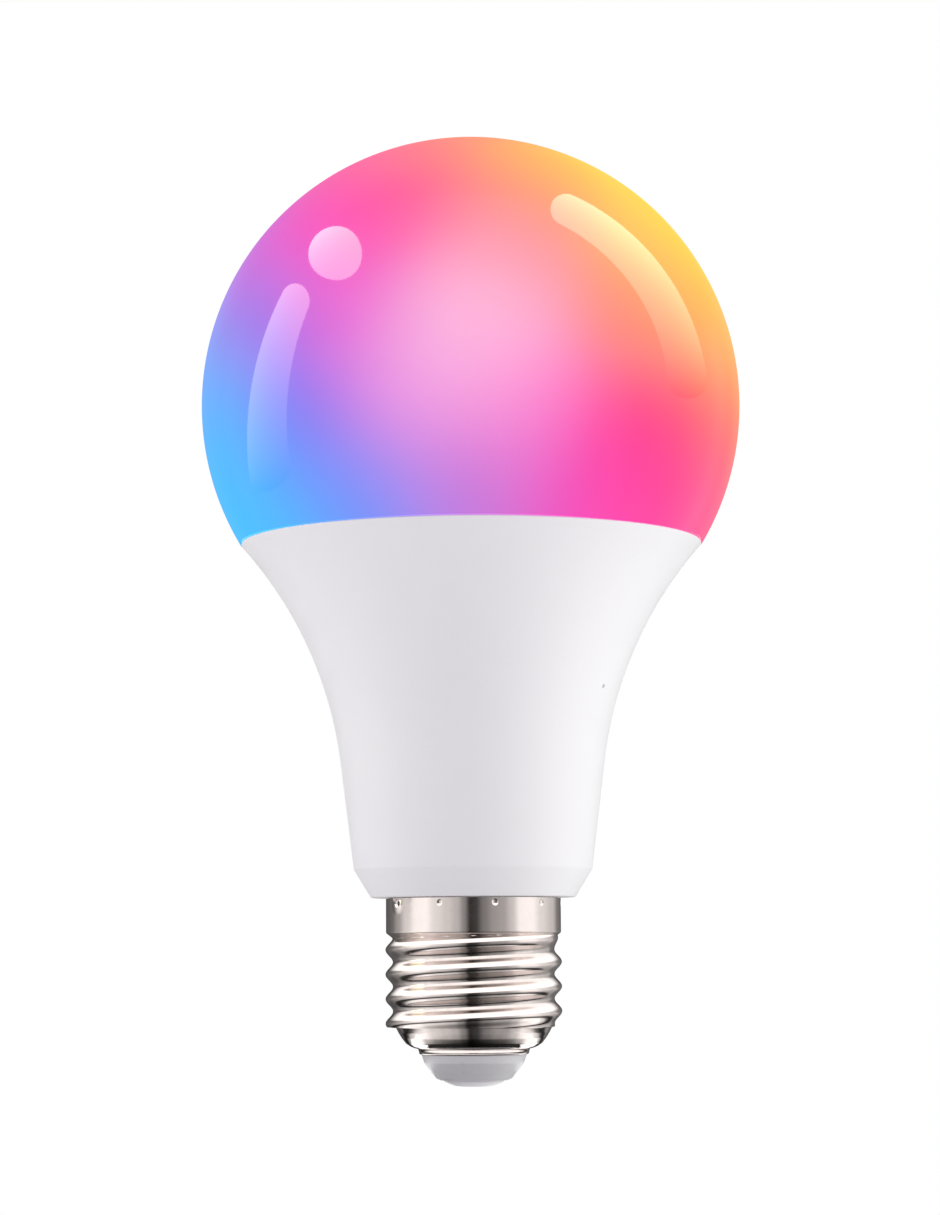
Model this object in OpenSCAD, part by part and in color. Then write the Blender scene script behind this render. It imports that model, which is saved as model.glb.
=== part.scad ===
// Smart light bulb: opal globe on a flared plastic body, with a light board,
// a driver and a radio inside, and an E27 Edison screw cap.
// Frame: origin at the lowest point of the centre contact, +Z up along the axis,
// front towards -Y. Millimetres.

/* [Globe] */
// Radius of the globe's outer sphere
globe_r = 40.5; // [36:0.5:44]
// Height of the sphere's centre above the centre contact
globe_z = 101.6; // [100:0.1:103]
// Wall thickness of the globe
globe_wall = 1.5; // [1:0.1:2.5]

/* [Body] */
// Height of the seam between body and globe
seam_z = 80.8; // [80:0.1:82]
// Outer radius at the top of the foot chamfer
neck_r = 17.75; // [17.5:0.05:19]
// Height of the top of the foot chamfer
neck_z = 32.0; // [31.5:0.1:33]
// Slope of the straight lower wall, in degrees from the axis
neck_taper = 7; // [5:0.5:9]
// Length of the straight lower wall
neck_straight = 16; // [12:0.5:20]
// Radius of the flat underside of the foot
foot_r = 15.2; // [14.5:0.1:15.5]
// Height of the flat underside of the foot
foot_z = 27.8; // [27.75:0.01:28]
// Wall thickness of the plastic
body_wall = 1.4; // [1.2:0.1:1.6]
// Thickness of the aluminium liner
liner_wall = 1.0; // [0.8:0.1:1.2]

/* [Screw cap] */
// Radius over the thread crests
thread_r = 13.1; // [13.025:0.025:13.2]
// Radius at the thread roots
thread_root_r = 12.0; // [11.98:0.01:12.1]
// Thread pitch
thread_pitch = 3.629; // [3.6:0.001:3.65]
// Radius of the plain collar above the thread
collar_r = 13.0; // [12.9:0.05:13.1]
// Height of the collar's lower edge
collar_z = 22.4; // [22.2:0.1:22.8]
// Height of the collar's upper edge
collar_top = 27.65; // [27.5:0.05:27.7]
// Thickness of the cap's sheet metal
cap_sheet = 0.3; // [0.2:0.05:0.35]
// Radius of the centre contact
contact_r = 4.5; // [4:0.1:4.8]
// Number of staking punches round the collar
stake_count = 10; // [6:1:12]

/* [Light board] */
// Radius of the light board
board_r = 28.8; // [28:0.1:28.9]
// Thickness of the light board
board_t = 1.4; // [1:0.1:1.6]
// Number of white packages in the outer ring
outer_ring_count = 16; // [8:4:20]
// Number of white packages in the inner ring
inner_ring_count = 12; // [8:4:12]
// Side of a white package
white_side = 3.0; // [2.8:0.1:3.2]
// Side of a colour package
colour_side = 3.5; // [3:0.1:3.5]

/* [Driver] */
// Half width of the driver board above the floor
driver_half = 14.2; // [13:0.1:14.3]
// Half width of the driver board's tail inside the cap
tail_half = 9.6; // [8:0.1:9.8]
// Height of the driver board's upper edge
driver_top = 73; // [70:0.5:74]
// Thickness of the driver board
driver_t = 1.6; // [1.2:0.2:1.6]

/* [Radio] */
// Width of the radio board
radio_w = 16; // [14:0.5:16]
// Height of the radio board's upper edge, above the light board
radio_top = 92; // [88:0.5:96]
// Thickness of the radio board
radio_t = 1.0; // [0.8:0.1:1]

/* [Hidden] */

eps = 0.01;            // overlap that keeps unions and cuts clean
gap = 0.05;            // clearance between pieces that touch
fine = 192;            // facets of the large rounds
mid = 48;              // facets of the small rounds

// Seam and flare: the flare is the circle that leaves the straight wall on a
// tangent at flare_start and passes through the seam.
seam_r = sqrt(pow(globe_r, 2) - pow(globe_z - seam_z, 2));
taper_dir = [sin(neck_taper), cos(neck_taper)];
taper_out = [cos(neck_taper), -sin(neck_taper)];
flare_start = [neck_r, neck_z] + neck_straight * taper_dir;
to_seam = [seam_r, seam_z] - flare_start;
flare_r = (to_seam * to_seam) / (2 * (to_seam * taper_out));
flare_centre = flare_start + flare_r * taper_out;
flare_reach = 25;      // how far the cut outline runs out under the flare

// Rim of the body and edge of the globe
skirt_in = 30.2;
skirt_out = 31.4;
skirt_z = 78.9;
flange_t = 1.2;
groove_z = 78.4;
groove_play = 0.15;
pocket_r = 29.0;
shelf_z = 76.8;

// Floor of the body and the neck that carries the cap
floor_z = 29.3;
floor_r = 14.45;
spigot_z = 17;
spigot_r = 11.45;
spigot_land_r = 12.6;
spigot_land_z = 22.6;
spigot_bore = 10.2;
lead_angle = 150 + 60; // direction of the pinched neutral lead, seen from above
lead_slot = 1.0;
guide_in = 11.5;
guide_out = 14.9;
guide_t = 1.5;
guide_top = 32.6;

// Stack on the liner's ledge
liner_z = 33;
ledge_t = 1.0;
ledge_in = 22.8;
spreader_t = 1.2;
pad_t = 0.25;
pad_z = shelf_z + spreader_t;
board_z = pad_z + pad_t;
board_top = board_z + board_t;
screw_count = 3;
screw_ring = 25.6;
screw_turn = 30;
screw_r = 1.2;
screw_hole = 1.35;
screw_end = 74.9;
head_r = 2.2;
head_h = 1.4;

// Packages on the light board
outer_ring = 21.2;
inner_ring = 15.2;
white_h = 0.7;
colour_h = 1.0;
window_t = 0.12;
colour_ring = 11;
colour_angles = [-165, -125, -90, -55, -15];

// Header between driver and light board
pin_pitch = 2.54;
pin_count = 6;
pin_side = 0.64;
pin_y = driver_t / 2 + gap + pin_side / 2;
pin_foot = 69;
pin_top = 83.2;
socket_w = 16.2;
socket_d = 5;
socket_h = 4.2;
header_slot = [17, 3];

// Radio board, parallel to the driver board and behind it
radio_y = 7.5;
radio_foot = 58;
radio_slot = [radio_w + 0.8, radio_t + 1];
radio_pin_z = 60.5;
radio_pin_pitch = 2;
radio_pin_count = 6;
shield = [12, 2.2, 12];
shield_z = 63;
shield_sheet = 0.2;
antenna_z = 82.5;
antenna_rows = 5;
antenna_step = 1.6;
antenna_line = 0.7;
antenna_t = 0.1;

// Driver parts
tail_z = 19.5;
shoulder_z = floor_z + 0.2;
bulk_at = [-4.6, -6.7];
bulk_r = 5;
bulk_z = 35.5;
bulk_h = 16;
output_at = [-7.2, 6.2];
output_r = 4;
output_z = 36;
output_h = 12;
film_size = [10, 5.4, 11];
film_at = [1.4, -7.4, 35.5];
core_at = [0, -8.6, 54];
core_size = [16, 6, 14];
core_window = 6.3;
core_leg = 2.6;
core_yoke = 2;
choke_at = [6.6, 6.2];
choke_r = 4;
choke_z = 37;
choke_h = 9;
fuse_at = [-4.2, -3.0];
fuse_r = 1.7;
fuse_z = 21.5;
fuse_h = 8;
varistor_at = [4.4, 25.5];
varistor_r = 3.4;
varistor_t = 3;
chip_t = 1.5;
chip_lift = 0.15;
driver_chip_size = [5, 6];
driver_chip_at = [-2.5, 50.5];
dimming_chip_size = [4, 10];
dimming_chip_at = [6.2, 50];
leg_pitch = 1.27;
leg_side = 0.4;
leg_reach = 1.0;
bridge_size = [4.8, 6.4];
bridge_at = [-2.4, 21.6];
resistor_size = [2, 0.55, 1.25];
ceramic_size = [3.2, 1.6, 1.6];
lead_r = 0.3;
lead_drop = 1.2;

// Thread: crest and root are equal arcs that meet on a tangent half way down.
thread_phase = 18.285;
thread_from = -5.35 * 180;
thread_to = 2.05 * 180;
thread_fade = 70;
thread_stub = 0.3;
ring_step = 12;
thread_depth = thread_r - thread_root_r;
thread_arc = (pow(thread_pitch / 2, 2) + pow(thread_depth, 2)) / (4 * thread_depth);

// Cap below the thread
shoulder_top = [11.5, 8.6];
shoulder_mid = [10.1, 6.3];
shoulder_low = [8.5, 5.25];
lip = [7.8, 4.45];
tube_r = thread_root_r - 0.1;
cap_bore = tube_r - cap_sheet;
stake_r = 0.8;
stake_depth = 0.2;
stake_z = 26.9;
stake_turn = -58 - 90;

// ---------------------------------------------------------------- helpers

// Radius of the straight wall, set in by d, at height z
function wall_r(z, d) = neck_r + (z - neck_z) * tan(neck_taper) - d / cos(neck_taper);

// Half section inside the body's outer surface, set in by d
module flare_half(d, z_low, z_high) {
    start = flare_start - d * taper_out;
    difference() {
        polygon([
            [0, z_low], [wall_r(z_low, d), z_low], start,
            start + (flare_reach + d) * taper_out,
            [flare_start[0] + flare_reach, z_high], [0, z_high]
        ]);
        translate(flare_centre) circle(r = flare_r + d, $fn = 2 * fine);
    }
}

// Ring of rectangular section
module ring(r_in, r_out, z_low, z_high, facets = fine) {
    rotate_extrude($fn = facets)
        translate([r_in, z_low]) square([r_out - r_in, z_high - z_low]);
}

// Box standing on z, centred on x and y
module block(size, at) {
    translate([at[0] - size[0] / 2, at[1] - size[1] / 2, at[2]]) cube(size);
}

// Children repeated round the axis at radius r
module round_ring(count, r, turn = 0, every = 1, first = 0) {
    for (i = [first : every : count - 1])
        rotate(turn + i * 360 / count) translate([r, 0]) children();
}

// Openings that the plate, the pad and the light board have in common
module board_openings(z_low, z_high, hole) {
    h = z_high - z_low;
    round_ring(screw_count, screw_ring, screw_turn)
        translate([0, 0, z_low - eps]) cylinder(r = hole, h = h + 2 * eps, $fn = mid);
    block([header_slot[0], header_slot[1], h + 2 * eps], [0, pin_y, z_low - eps]);
    block([radio_slot[0], radio_slot[1], h + 2 * eps],
        [0, radio_y + radio_t / 2, z_low - eps]);
}

// Tube of round section swept along points whose route stays clear of "across"
function unit(v) = v / norm(v);
function tangent(p, i) = unit(p[min(i + 1, len(p) - 1)] - p[max(i - 1, 0)]);
module wire(p, r, across, sides = 8) {
    points = [
        for (i = [0 : len(p) - 1])
            let (t = tangent(p, i), u = unit(cross(t, across)), v = cross(t, u))
                for (k = [0 : sides - 1])
                    p[i] + r * (cos(k * 360 / sides) * u + sin(k * 360 / sides) * v)
    ];
    walls = [
        for (i = [0 : len(p) - 2], k = [0 : sides - 1])
            let (a = i * sides + k, b = i * sides + (k + 1) % sides)
                [a, a + sides, b + sides, b]
    ];
    first = [for (k = [0 : sides - 1]) k];
    last = [for (k = [sides - 1 : -1 : 0]) (len(p) - 1) * sides + k];
    polyhedron(points = points, faces = concat(walls, [first], [last]));
}

// ------------------------------------------------------------ globe and body

module diffuser_globe() {
    color("white") rotate_extrude($fn = fine) {
        difference() {
            intersection() {
                translate([0, globe_z]) circle(r = globe_r, $fn = fine);
                translate([0, seam_z]) square([globe_r + 1, 2 * globe_r]);
            }
            difference() {
                translate([0, globe_z]) circle(r = globe_r - globe_wall, $fn = fine);
                translate([skirt_in, seam_z - 1])
                    square([globe_r, flange_t + 1]);
            }
        }
        translate([skirt_in, skirt_z])
            square([skirt_out - skirt_in, seam_z - skirt_z + flange_t / 2]);
    }
}

module globe_adhesive() {
    color("lightgrey") ring(
        skirt_in - groove_play + gap, skirt_out + groove_play - gap,
        groove_z + gap, skirt_z - gap);
}

// Wall, rim, foot and cap neck in one half section
module body_half() {
    difference() {
        union() {
            flare_half(0, neck_z, seam_z - gap);
            polygon([
                [0, foot_z], [foot_r, foot_z], [neck_r, neck_z],
                [neck_r - 1, neck_z + 1], [0, neck_z + 1]
            ]);
            translate([0, spigot_z]) square([spigot_r, foot_z - spigot_z + 1]);
            translate([0, spigot_land_z])
                square([spigot_land_r, foot_z - spigot_land_z + 1]);
        }
        flare_half(body_wall, neck_z, shelf_z);
        polygon([
            [0, floor_z], [floor_r, floor_z], [wall_r(neck_z, body_wall), neck_z],
            [wall_r(neck_z, body_wall) - 1, neck_z + 1], [0, neck_z + 1]
        ]);
        translate([0, shelf_z - 1]) square([pocket_r, seam_z]);
        translate([skirt_in - groove_play, groove_z])
            square([skirt_out - skirt_in + 2 * groove_play, seam_z]);
        translate([0, spigot_z - 1]) square([spigot_bore, foot_z]);
    }
}

module body_shell() {
    color("whitesmoke") {
        difference() {
            rotate_extrude($fn = fine) body_half();
            rotate(lead_angle) translate([spigot_bore + 0.6, -lead_slot / 2, spigot_z - 1])
                cube([3, lead_slot, collar_top - spigot_z + 0.5]);
        }
        for (x = [-1, 1], y = [-1, 1])
            block([guide_out - guide_in, guide_t, guide_top - floor_z + 0.5], [
                x * (guide_in + guide_out) / 2,
                y * (driver_t / 2 + gap + guide_t / 2), floor_z - 0.5
            ]);
    }
}

module heat_sink_liner() {
    outer = body_wall + gap;
    inner = outer + liner_wall;
    color("silver") difference() {
        rotate_extrude($fn = fine) {
            difference() {
                flare_half(outer, liner_z, shelf_z - gap);
                flare_half(inner, liner_z - 1, shelf_z + 1);
            }
            intersection() {
                flare_half(outer + liner_wall / 2, liner_z, shelf_z - gap);
                translate([ledge_in, shelf_z - gap - ledge_t])
                    square([globe_r, ledge_t]);
            }
        }
        round_ring(screw_count, screw_ring, screw_turn)
            translate([0, 0, shelf_z - 3]) cylinder(r = screw_r + gap, h = 4, $fn = mid);
    }
}

module heat_spreader() {
    color("gainsboro") difference() {
        ring(0, board_r, shelf_z, pad_z - eps);
        board_openings(shelf_z, pad_z, screw_hole);
    }
}

// ------------------------------------------------------------ light board

module thermal_pad() {
    color("lightsteelblue") difference() {
        ring(0, board_r - 0.3, pad_z, board_z - eps);
        board_openings(pad_z, board_z, screw_hole);
    }
}

module led_board() {
    color("white") difference() {
        ring(0, board_r, board_z, board_top);
        board_openings(board_z, board_top, screw_hole);
    }
}

module board_screws() {
    color("silver") round_ring(screw_count, screw_ring, screw_turn)
        difference() {
            rotate_extrude($fn = mid) polygon([
                [0, screw_end], [screw_r / 2, screw_end], [screw_r, screw_end + 0.6],
                [screw_r, board_top + eps], [head_r, board_top + eps],
                [head_r, board_top + head_h / 2], [head_r - 0.6, board_top + head_h],
                [0, board_top + head_h]
            ]);
            block([2.2, 0.4, 1], [0, 0, board_top + head_h - 0.7]);
            block([0.4, 2.2, 1], [0, 0, board_top + head_h - 0.7]);
        }
}

// Package with a shallow well for its window
module package(side, h) {
    difference() {
        block([side, side, h], [0, 0, board_top + eps]);
        block([side - 0.6, side - 0.6, 1], [0, 0, board_top + h - window_t]);
    }
}

module package_window(side, h) {
    block([side - 0.7, side - 0.7, window_t], [0, 0, board_top + h - window_t + 2 * eps]);
}

// White packages take turns round both rings: first = 0 warm, 1 cool
module white_places(first) {
    round_ring(outer_ring_count, outer_ring, 0, 2, first) children();
    round_ring(inner_ring_count, inner_ring, 0, 2, first) children();
}

module colour_places() {
    for (a = colour_angles) rotate(a) translate([colour_ring, 0]) children();
}

module warm_white_leds() { color("ivory") white_places(0) package(white_side, white_h); }
module warm_phosphors() { color("orange") white_places(0) package_window(white_side, white_h); }
module cool_white_leds() { color("ivory") white_places(1) package(white_side, white_h); }
module cool_phosphors() { color("yellow") white_places(1) package_window(white_side, white_h); }
module rgb_leds() { color("white") colour_places() package(colour_side, colour_h); }
module rgb_windows() { color("lightcyan") colour_places() package_window(colour_side, colour_h); }

// Places of the header pins along x
function pin_x(i, count, pitch) = (i - (count - 1) / 2) * pitch;

module board_socket() {
    color("ivory") difference() {
        block([socket_w, socket_d, socket_h], [0, pin_y, board_top + eps]);
        for (i = [0 : pin_count - 1])
            block([pin_side + 0.2, pin_side + 0.2, socket_h + 1],
                [pin_x(i, pin_count, pin_pitch), pin_y, board_top - 0.5]);
        block([socket_w - 2, socket_d - 1.6, 1], [0, pin_y, board_top + socket_h - 0.6]);
    }
}

module header_pins() {
    color("gold") for (i = [0 : pin_count - 1])
        block([pin_side, pin_side, pin_top - pin_foot],
            [pin_x(i, pin_count, pin_pitch), pin_y, pin_foot]);
}

// ------------------------------------------------------------ radio

module radio_board() {
    color("darkgreen") difference() {
        translate([-radio_w / 2, radio_y, radio_foot])
            cube([radio_w, radio_t, radio_top - radio_foot]);
        radio_pin_row(lead_r + gap);
    }
}

// Round pins through the driver board and the radio board
module radio_pin_row(r) {
    for (i = [0 : radio_pin_count - 1])
        translate([pin_x(i, radio_pin_count, radio_pin_pitch), 0, radio_pin_z])
            rotate([-90, 0, 0])
                translate([0, 0, -driver_t / 2 - 1])
                    cylinder(r = r, h = radio_y + radio_t + driver_t / 2 + 2, $fn = 16);
}

module radio_pins() { color("gold") radio_pin_row(lead_r); }

radio_face = radio_y + radio_t + eps;

module radio_chip() {
    color("dimgrey") translate([-4.4, radio_face, shield_z + 2]) cube([5, 0.9, 5]);
}

module radio_crystal() {
    color("silver") translate([1.6, radio_face, shield_z + 7.5]) cube([3.2, 0.8, 2.5]);
}

module radio_shield() {
    color("silver") difference() {
        translate([-shield[0] / 2, radio_face, shield_z]) cube(shield);
        translate([-shield[0] / 2 + shield_sheet, radio_face - 1, shield_z + shield_sheet])
            cube([
                shield[0] - 2 * shield_sheet, shield[1] + 1 - shield_sheet,
                shield[2] - 2 * shield_sheet
            ]);
    }
}

// Meandering line: level rows joined at alternate ends
module antenna_trace() {
    w = radio_w - 3;
    color("gold") translate([-w / 2, radio_face, antenna_z]) {
        for (i = [0 : antenna_rows - 1])
            translate([0, 0, i * antenna_step]) cube([w, antenna_t, antenna_line]);
        for (i = [0 : antenna_rows - 2])
            translate([i % 2 == 0 ? 0 : w - antenna_line, 0, i * antenna_step])
                cube([antenna_line, antenna_t, antenna_step + antenna_line]);
    }
}

// ------------------------------------------------------------ driver

module driver_board() {
    color("seagreen") difference() {
        rotate([90, 0, 0]) translate([0, 0, -driver_t / 2]) linear_extrude(driver_t)
            polygon([
                [-tail_half, tail_z], [tail_half, tail_z], [tail_half, shoulder_z],
                [driver_half, shoulder_z], [driver_half, driver_top],
                [-driver_half, driver_top], [-driver_half, shoulder_z],
                [-tail_half, shoulder_z]
            ]);
        radio_pin_row(lead_r + gap);
        lead_pairs(lead_r + gap);
    }
}

// Can capacitor with a rolled groove and a domed vent top
module can_capacitor(at, r, z, h) {
    translate([at[0], at[1], z]) difference() {
        rotate_extrude($fn = mid) difference() {
            polygon([
                [0, 0], [r - 0.5, 0], [r, 0.5], [r, h - 0.5], [r - 0.5, h], [0, h]
            ]);
            translate([r + 0.4, 2.2]) circle(r = 0.8, $fn = mid);
        }
        block([r * 1.3, 0.25, 1], [0, 0, h - 0.25]);
        block([0.25, r * 1.3, 1], [0, 0, h - 0.25]);
    }
}

module bulk_capacitor() { color("midnightblue") can_capacitor(bulk_at, bulk_r, bulk_z, bulk_h); }
module output_capacitor() {
    color("black") can_capacitor(output_at, output_r, output_z, output_h);
}

module film_capacitor() {
    color("goldenrod") translate(film_at) difference() {
        cube(film_size);
        translate([1, -1, -1]) cube([film_size[0] - 2, film_size[1] + 2, 1.4]);
    }
}

// Two E halves that meet round one centre leg
module transformer_core() {
    color("dimgrey") difference() {
        block(core_size, core_at);
        translate(core_at + [0, 0, core_yoke])
            ring(core_leg, core_window, 0, core_size[2] - 2 * core_yoke, mid);
    }
}

module transformer_bobbin() {
    low = core_yoke + gap;
    high = core_size[2] - core_yoke - gap;
    color("black") translate(core_at) {
        ring(core_leg + gap, core_leg + 0.7, low, high, mid);
        ring(core_leg + gap, core_window - 2 * gap, low, low + 0.6, mid);
        ring(core_leg + gap, core_window - 2 * gap, high - 0.6, high, mid);
    }
}

module transformer_winding() {
    low = core_yoke + 0.7;
    high = core_size[2] - core_yoke - 0.7;
    color("gold") translate(core_at)
        ring(core_leg + 0.75, core_window - 0.4, low, high, mid);
}

module choke_core() {
    color("dimgrey") translate([choke_at[0], choke_at[1], choke_z]) {
        cylinder(r = choke_r, h = 1.4, $fn = mid);
        cylinder(r = choke_r / 2, h = choke_h, $fn = mid);
        translate([0, 0, choke_h - 1.4]) cylinder(r = choke_r, h = 1.4, $fn = mid);
    }
}

module choke_winding() {
    color("peru") translate([choke_at[0], choke_at[1], choke_z])
        ring(choke_r / 2 + gap, choke_r - 0.3, 1.4 + gap, choke_h - 1.4 - gap, mid);
}

// Flat package on the board's back face, with its corner at (x, z)
module back_package(size, at) {
    translate([at[0], driver_t / 2 + chip_lift, at[1]]) cube([size[0], chip_t, size[1]]);
}

module bridge_rectifier() { color("dimgrey") back_package(bridge_size, bridge_at); }
module driver_chip() { color("dimgrey") back_package(driver_chip_size, driver_chip_at); }
module dimming_chip() { color("dimgrey") back_package(dimming_chip_size, dimming_chip_at); }

// Legs down both sides of a flat package
module side_legs(size, at, count) {
    for (i = [0 : count - 1], side = [-leg_reach, size[0] + gap])
        translate([
            at[0] + side, driver_t / 2 + gap,
            at[1] + size[1] / 2 + pin_x(i, count, leg_pitch) - leg_side / 2
        ]) cube([leg_reach - gap, 0.3, leg_side]);
}

module chip_legs() {
    color("silver") {
        side_legs(driver_chip_size, driver_chip_at, 4);
        side_legs(dimming_chip_size, dimming_chip_at, 7);
        side_legs(bridge_size, bridge_at, 2);
    }
}

module fuse_resistor() {
    color("steelblue") translate([fuse_at[0], fuse_at[1], fuse_z])
        rotate_extrude($fn = mid) polygon([
            [0, 0], [fuse_r - 0.4, 0], [fuse_r, 0.4], [fuse_r, 1.8], [fuse_r - 0.3, 2.2],
            [fuse_r - 0.3, fuse_h - 2.2], [fuse_r, fuse_h - 1.8], [fuse_r, fuse_h - 0.4],
            [fuse_r - 0.4, fuse_h], [0, fuse_h]
        ]);
}

module varistor() {
    color("royalblue") translate([varistor_at[0], -driver_t / 2 - 0.5, varistor_at[1]])
        rotate([90, 0, 0]) cylinder(r = varistor_r, h = varistor_t, $fn = mid);
}

module surface_resistors() {
    color("black") for (x = [-11, -8.4], z = [54 : 3 : 69])
        translate([x, driver_t / 2 + gap, z]) cube(resistor_size);
}

module ceramic_capacitors() {
    color("tan") for (z = [54 : 4 : 66])
        translate([9, driver_t / 2 + gap, z]) cube(ceramic_size);
}

// Bent wire leads in pairs: down from the part, then into the board
leaded = [
    [bulk_at[0], bulk_at[1], bulk_z, 2.5],
    [output_at[0], output_at[1], output_z, 1.75],
    [choke_at[0], choke_at[1], choke_z, 2.5],
    [film_at[0] + film_size[0] / 2, film_at[1] + film_size[1] / 2, film_at[2] + 0.4, 3.75]
];

module lead_pairs(r) {
    for (p = leaded, side = [-1, 1])
        translate([p[0] + side * p[3], p[1], p[2] - lead_drop])
            rotate([p[1] > 0 ? 90 : -90, 0, 0])
                cylinder(r = r, h = abs(p[1]) + driver_t / 2 + 0.8, $fn = 16);
}

module component_leads() {
    color("silver") {
        lead_pairs(lead_r);
        for (p = leaded, side = [-1, 1])
            translate([p[0] + side * p[3], p[1], p[2] - lead_drop - lead_r])
                cylinder(r = lead_r, h = lead_drop + lead_r - gap, $fn = 16);
    }
}

// ------------------------------------------------------------ mains leads

module live_lead() {
    color("firebrick") wire([
        [0, 0, 3.4], [0, 0, 6], [0.1, 0.2, 8], [0.5, 0.9, 10], [1.1, 1.7, 12],
        [1.4, 2.2, 14.5], [1.3, 2.3, 17], [1.1, 1.9, 19], [1, 1.3, 20.6], [1, 1.2, 22.5]
    ], lead_r + gap, [0, 1, 0]);
}

// From the tail, round the end of the neck and up its slot to the collar
module neutral_lead() {
    u = [cos(lead_angle), sin(lead_angle)];
    low = spigot_z - 1;
    color("silver") wire([
        [-7, -1.25, 23], [-7, -1.25, 20], [-7.1, -1.6, 18],
        [8.6 * u[0], 8.6 * u[1], 16.4], [9.8 * u[0], 9.8 * u[1], low - 0.2],
        [10.8 * u[0], 10.8 * u[1], low + 0.1], [11.2 * u[0], 11.2 * u[1], low + 1],
        [11.25 * u[0], 11.25 * u[1], 19], [11.3 * u[0], 11.3 * u[1], 21.4],
        [11.7 * u[0], 11.7 * u[1], 22.6], [12.2 * u[0], 12.2 * u[1], 23.8],
        [12.35 * u[0], 12.35 * u[1], 25], [12.35 * u[0], 12.35 * u[1], 26.6]
    ], lead_r, [-u[1], u[0], 0]);
}

// ------------------------------------------------------------ cap

// Sheet-metal cap: collar, thread tube, shoulder and lip
module cap_half() {
    s = cap_sheet;
    polygon([
        [collar_r, collar_top], [collar_r, collar_z + 0.5], [collar_r - 0.35, collar_z],
        [tube_r, collar_z - 0.6], [tube_r, shoulder_top[1] + 0.6],
        shoulder_top, shoulder_mid, shoulder_low, [lip[0], lip[1] + 0.4], lip,
        [lip[0] - s, lip[1]], [lip[0] - s, lip[1] + 0.4 + s],
        shoulder_low + [-s / 3, s], shoulder_mid + [-s * 0.8, s * 0.7],
        [cap_bore - 0.35, shoulder_top[1] + 0.2], [cap_bore, shoulder_top[1] + 0.8],
        [cap_bore, collar_z - 0.5], [collar_r - 0.35 - s, collar_z + s],
        [collar_r - s, collar_z + 0.7], [collar_r - s, collar_top]
    ]);
}

// How far the thread stands out at an angle: it fades in and out at its ends
function thread_swell(a) =
    let (t = min(a - thread_from, thread_to - a) / thread_fade)
        t >= 1 ? 1 : thread_stub + (1 - thread_stub) * (1 - cos(180 * max(t, 0))) / 2;

// Radius of the thread outline at an offset u along the axis from the crest
function thread_out(u) =
    abs(u) <= thread_pitch / 4
        ? thread_r - thread_arc + sqrt(pow(thread_arc, 2) - u * u)
        : thread_root_r + thread_arc
            - sqrt(pow(thread_arc, 2) - pow(thread_pitch / 2 - abs(u), 2));

// Right-hand ridge of the screw thread, sunk into the tube wall
module thread_ridge() {
    half = thread_pitch * 0.48;
    sunk = tube_r - cap_sheet / 2;
    profile = [for (k = [-4 : 4]) k / 4 * half];
    n = len(profile) + 2;
    rings = round((thread_to - thread_from) / ring_step);
    points = [
        for (i = [0 : rings])
            let (
                a = thread_from + i * (thread_to - thread_from) / rings,
                z = thread_phase + thread_pitch * a / 360,
                w = thread_swell(a)
            )
                for (k = [0 : n - 1])
                    let (
                        u = k == 0 ? -half : k == n - 1 ? half : profile[k - 1],
                        full = k == 0 || k == n - 1 ? sunk : thread_out(u),
                        r = sunk + (full - sunk) * (k == 0 || k == n - 1 ? 0 : w)
                    )
                        [r * cos(a), r * sin(a), z + u]
    ];
    walls = [
        for (i = [0 : rings - 1], k = [0 : n - 1])
            let (a = i * n + k, b = i * n + (k + 1) % n)
                each [[a, b + n, a + n], [a, b, b + n]]
    ];
    first = [for (k = [n - 1 : -1 : 0]) k];
    last = [for (k = [0 : n - 1]) rings * n + k];
    polyhedron(points = points, faces = concat(walls, [first], [last]));
}

module screw_cap() {
    color("silver") difference() {
        union() {
            rotate_extrude($fn = fine) cap_half();
            thread_ridge();
        }
        round_ring(stake_count, collar_r + stake_r - stake_depth, stake_turn)
            translate([0, 0, stake_z]) sphere(r = stake_r, $fn = 24);
    }
}

module cap_insulator() {
    color("gainsboro") rotate_extrude($fn = fine) polygon([
        [2.1, 0.9], [5.1, 0.9], [5.65, 1.2], [6.45, 2.2], [7.4, 3.5], [7.75, 4.4],
        [7.4, 4.4], [7.4, 5.75], [8.1, 5.75], [8.1, 7], [2.1, 7]
    ]);
}

module centre_contact() {
    color("silver") difference() {
        rotate_extrude($fn = mid * 2) polygon([
            [0, 0], [2.2, 0], [3.05, 0.1], [4.0, 0.48], [contact_r, 0.77],
            [contact_r, 0.88], [1.9, 0.88], [1.9, 6.2], [0, 6.2]
        ]);
        translate([0, 0, 3]) cylinder(r = 0.5, h = 4, $fn = 16);
    }
}

// ------------------------------------------------------------ nodes

diffuser_globe();
globe_adhesive();
body_shell();
heat_sink_liner();
heat_spreader();
thermal_pad();
led_board();
board_screws();
warm_white_leds();
warm_phosphors();
cool_white_leds();
cool_phosphors();
rgb_leds();
rgb_windows();
board_socket();
header_pins();
radio_board();
radio_chip();
radio_crystal();
radio_shield();
antenna_trace();
radio_pins();
driver_board();
bulk_capacitor();
output_capacitor();
film_capacitor();
transformer_core();
transformer_bobbin();
transformer_winding();
choke_core();
choke_winding();
bridge_rectifier();
fuse_resistor();
varistor();
driver_chip();
dimming_chip();
chip_legs();
surface_resistors();
ceramic_capacitors();
component_leads();
live_lead();
neutral_lead();
screw_cap();
cap_insulator();
centre_contact();
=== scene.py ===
"""Smart light bulb: the looks of every piece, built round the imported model."""

import math

import bmesh
import bpy
from bpy.props import FloatProperty, FloatVectorProperty, IntProperty, PointerProperty
from mathutils import Matrix, Vector


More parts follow.
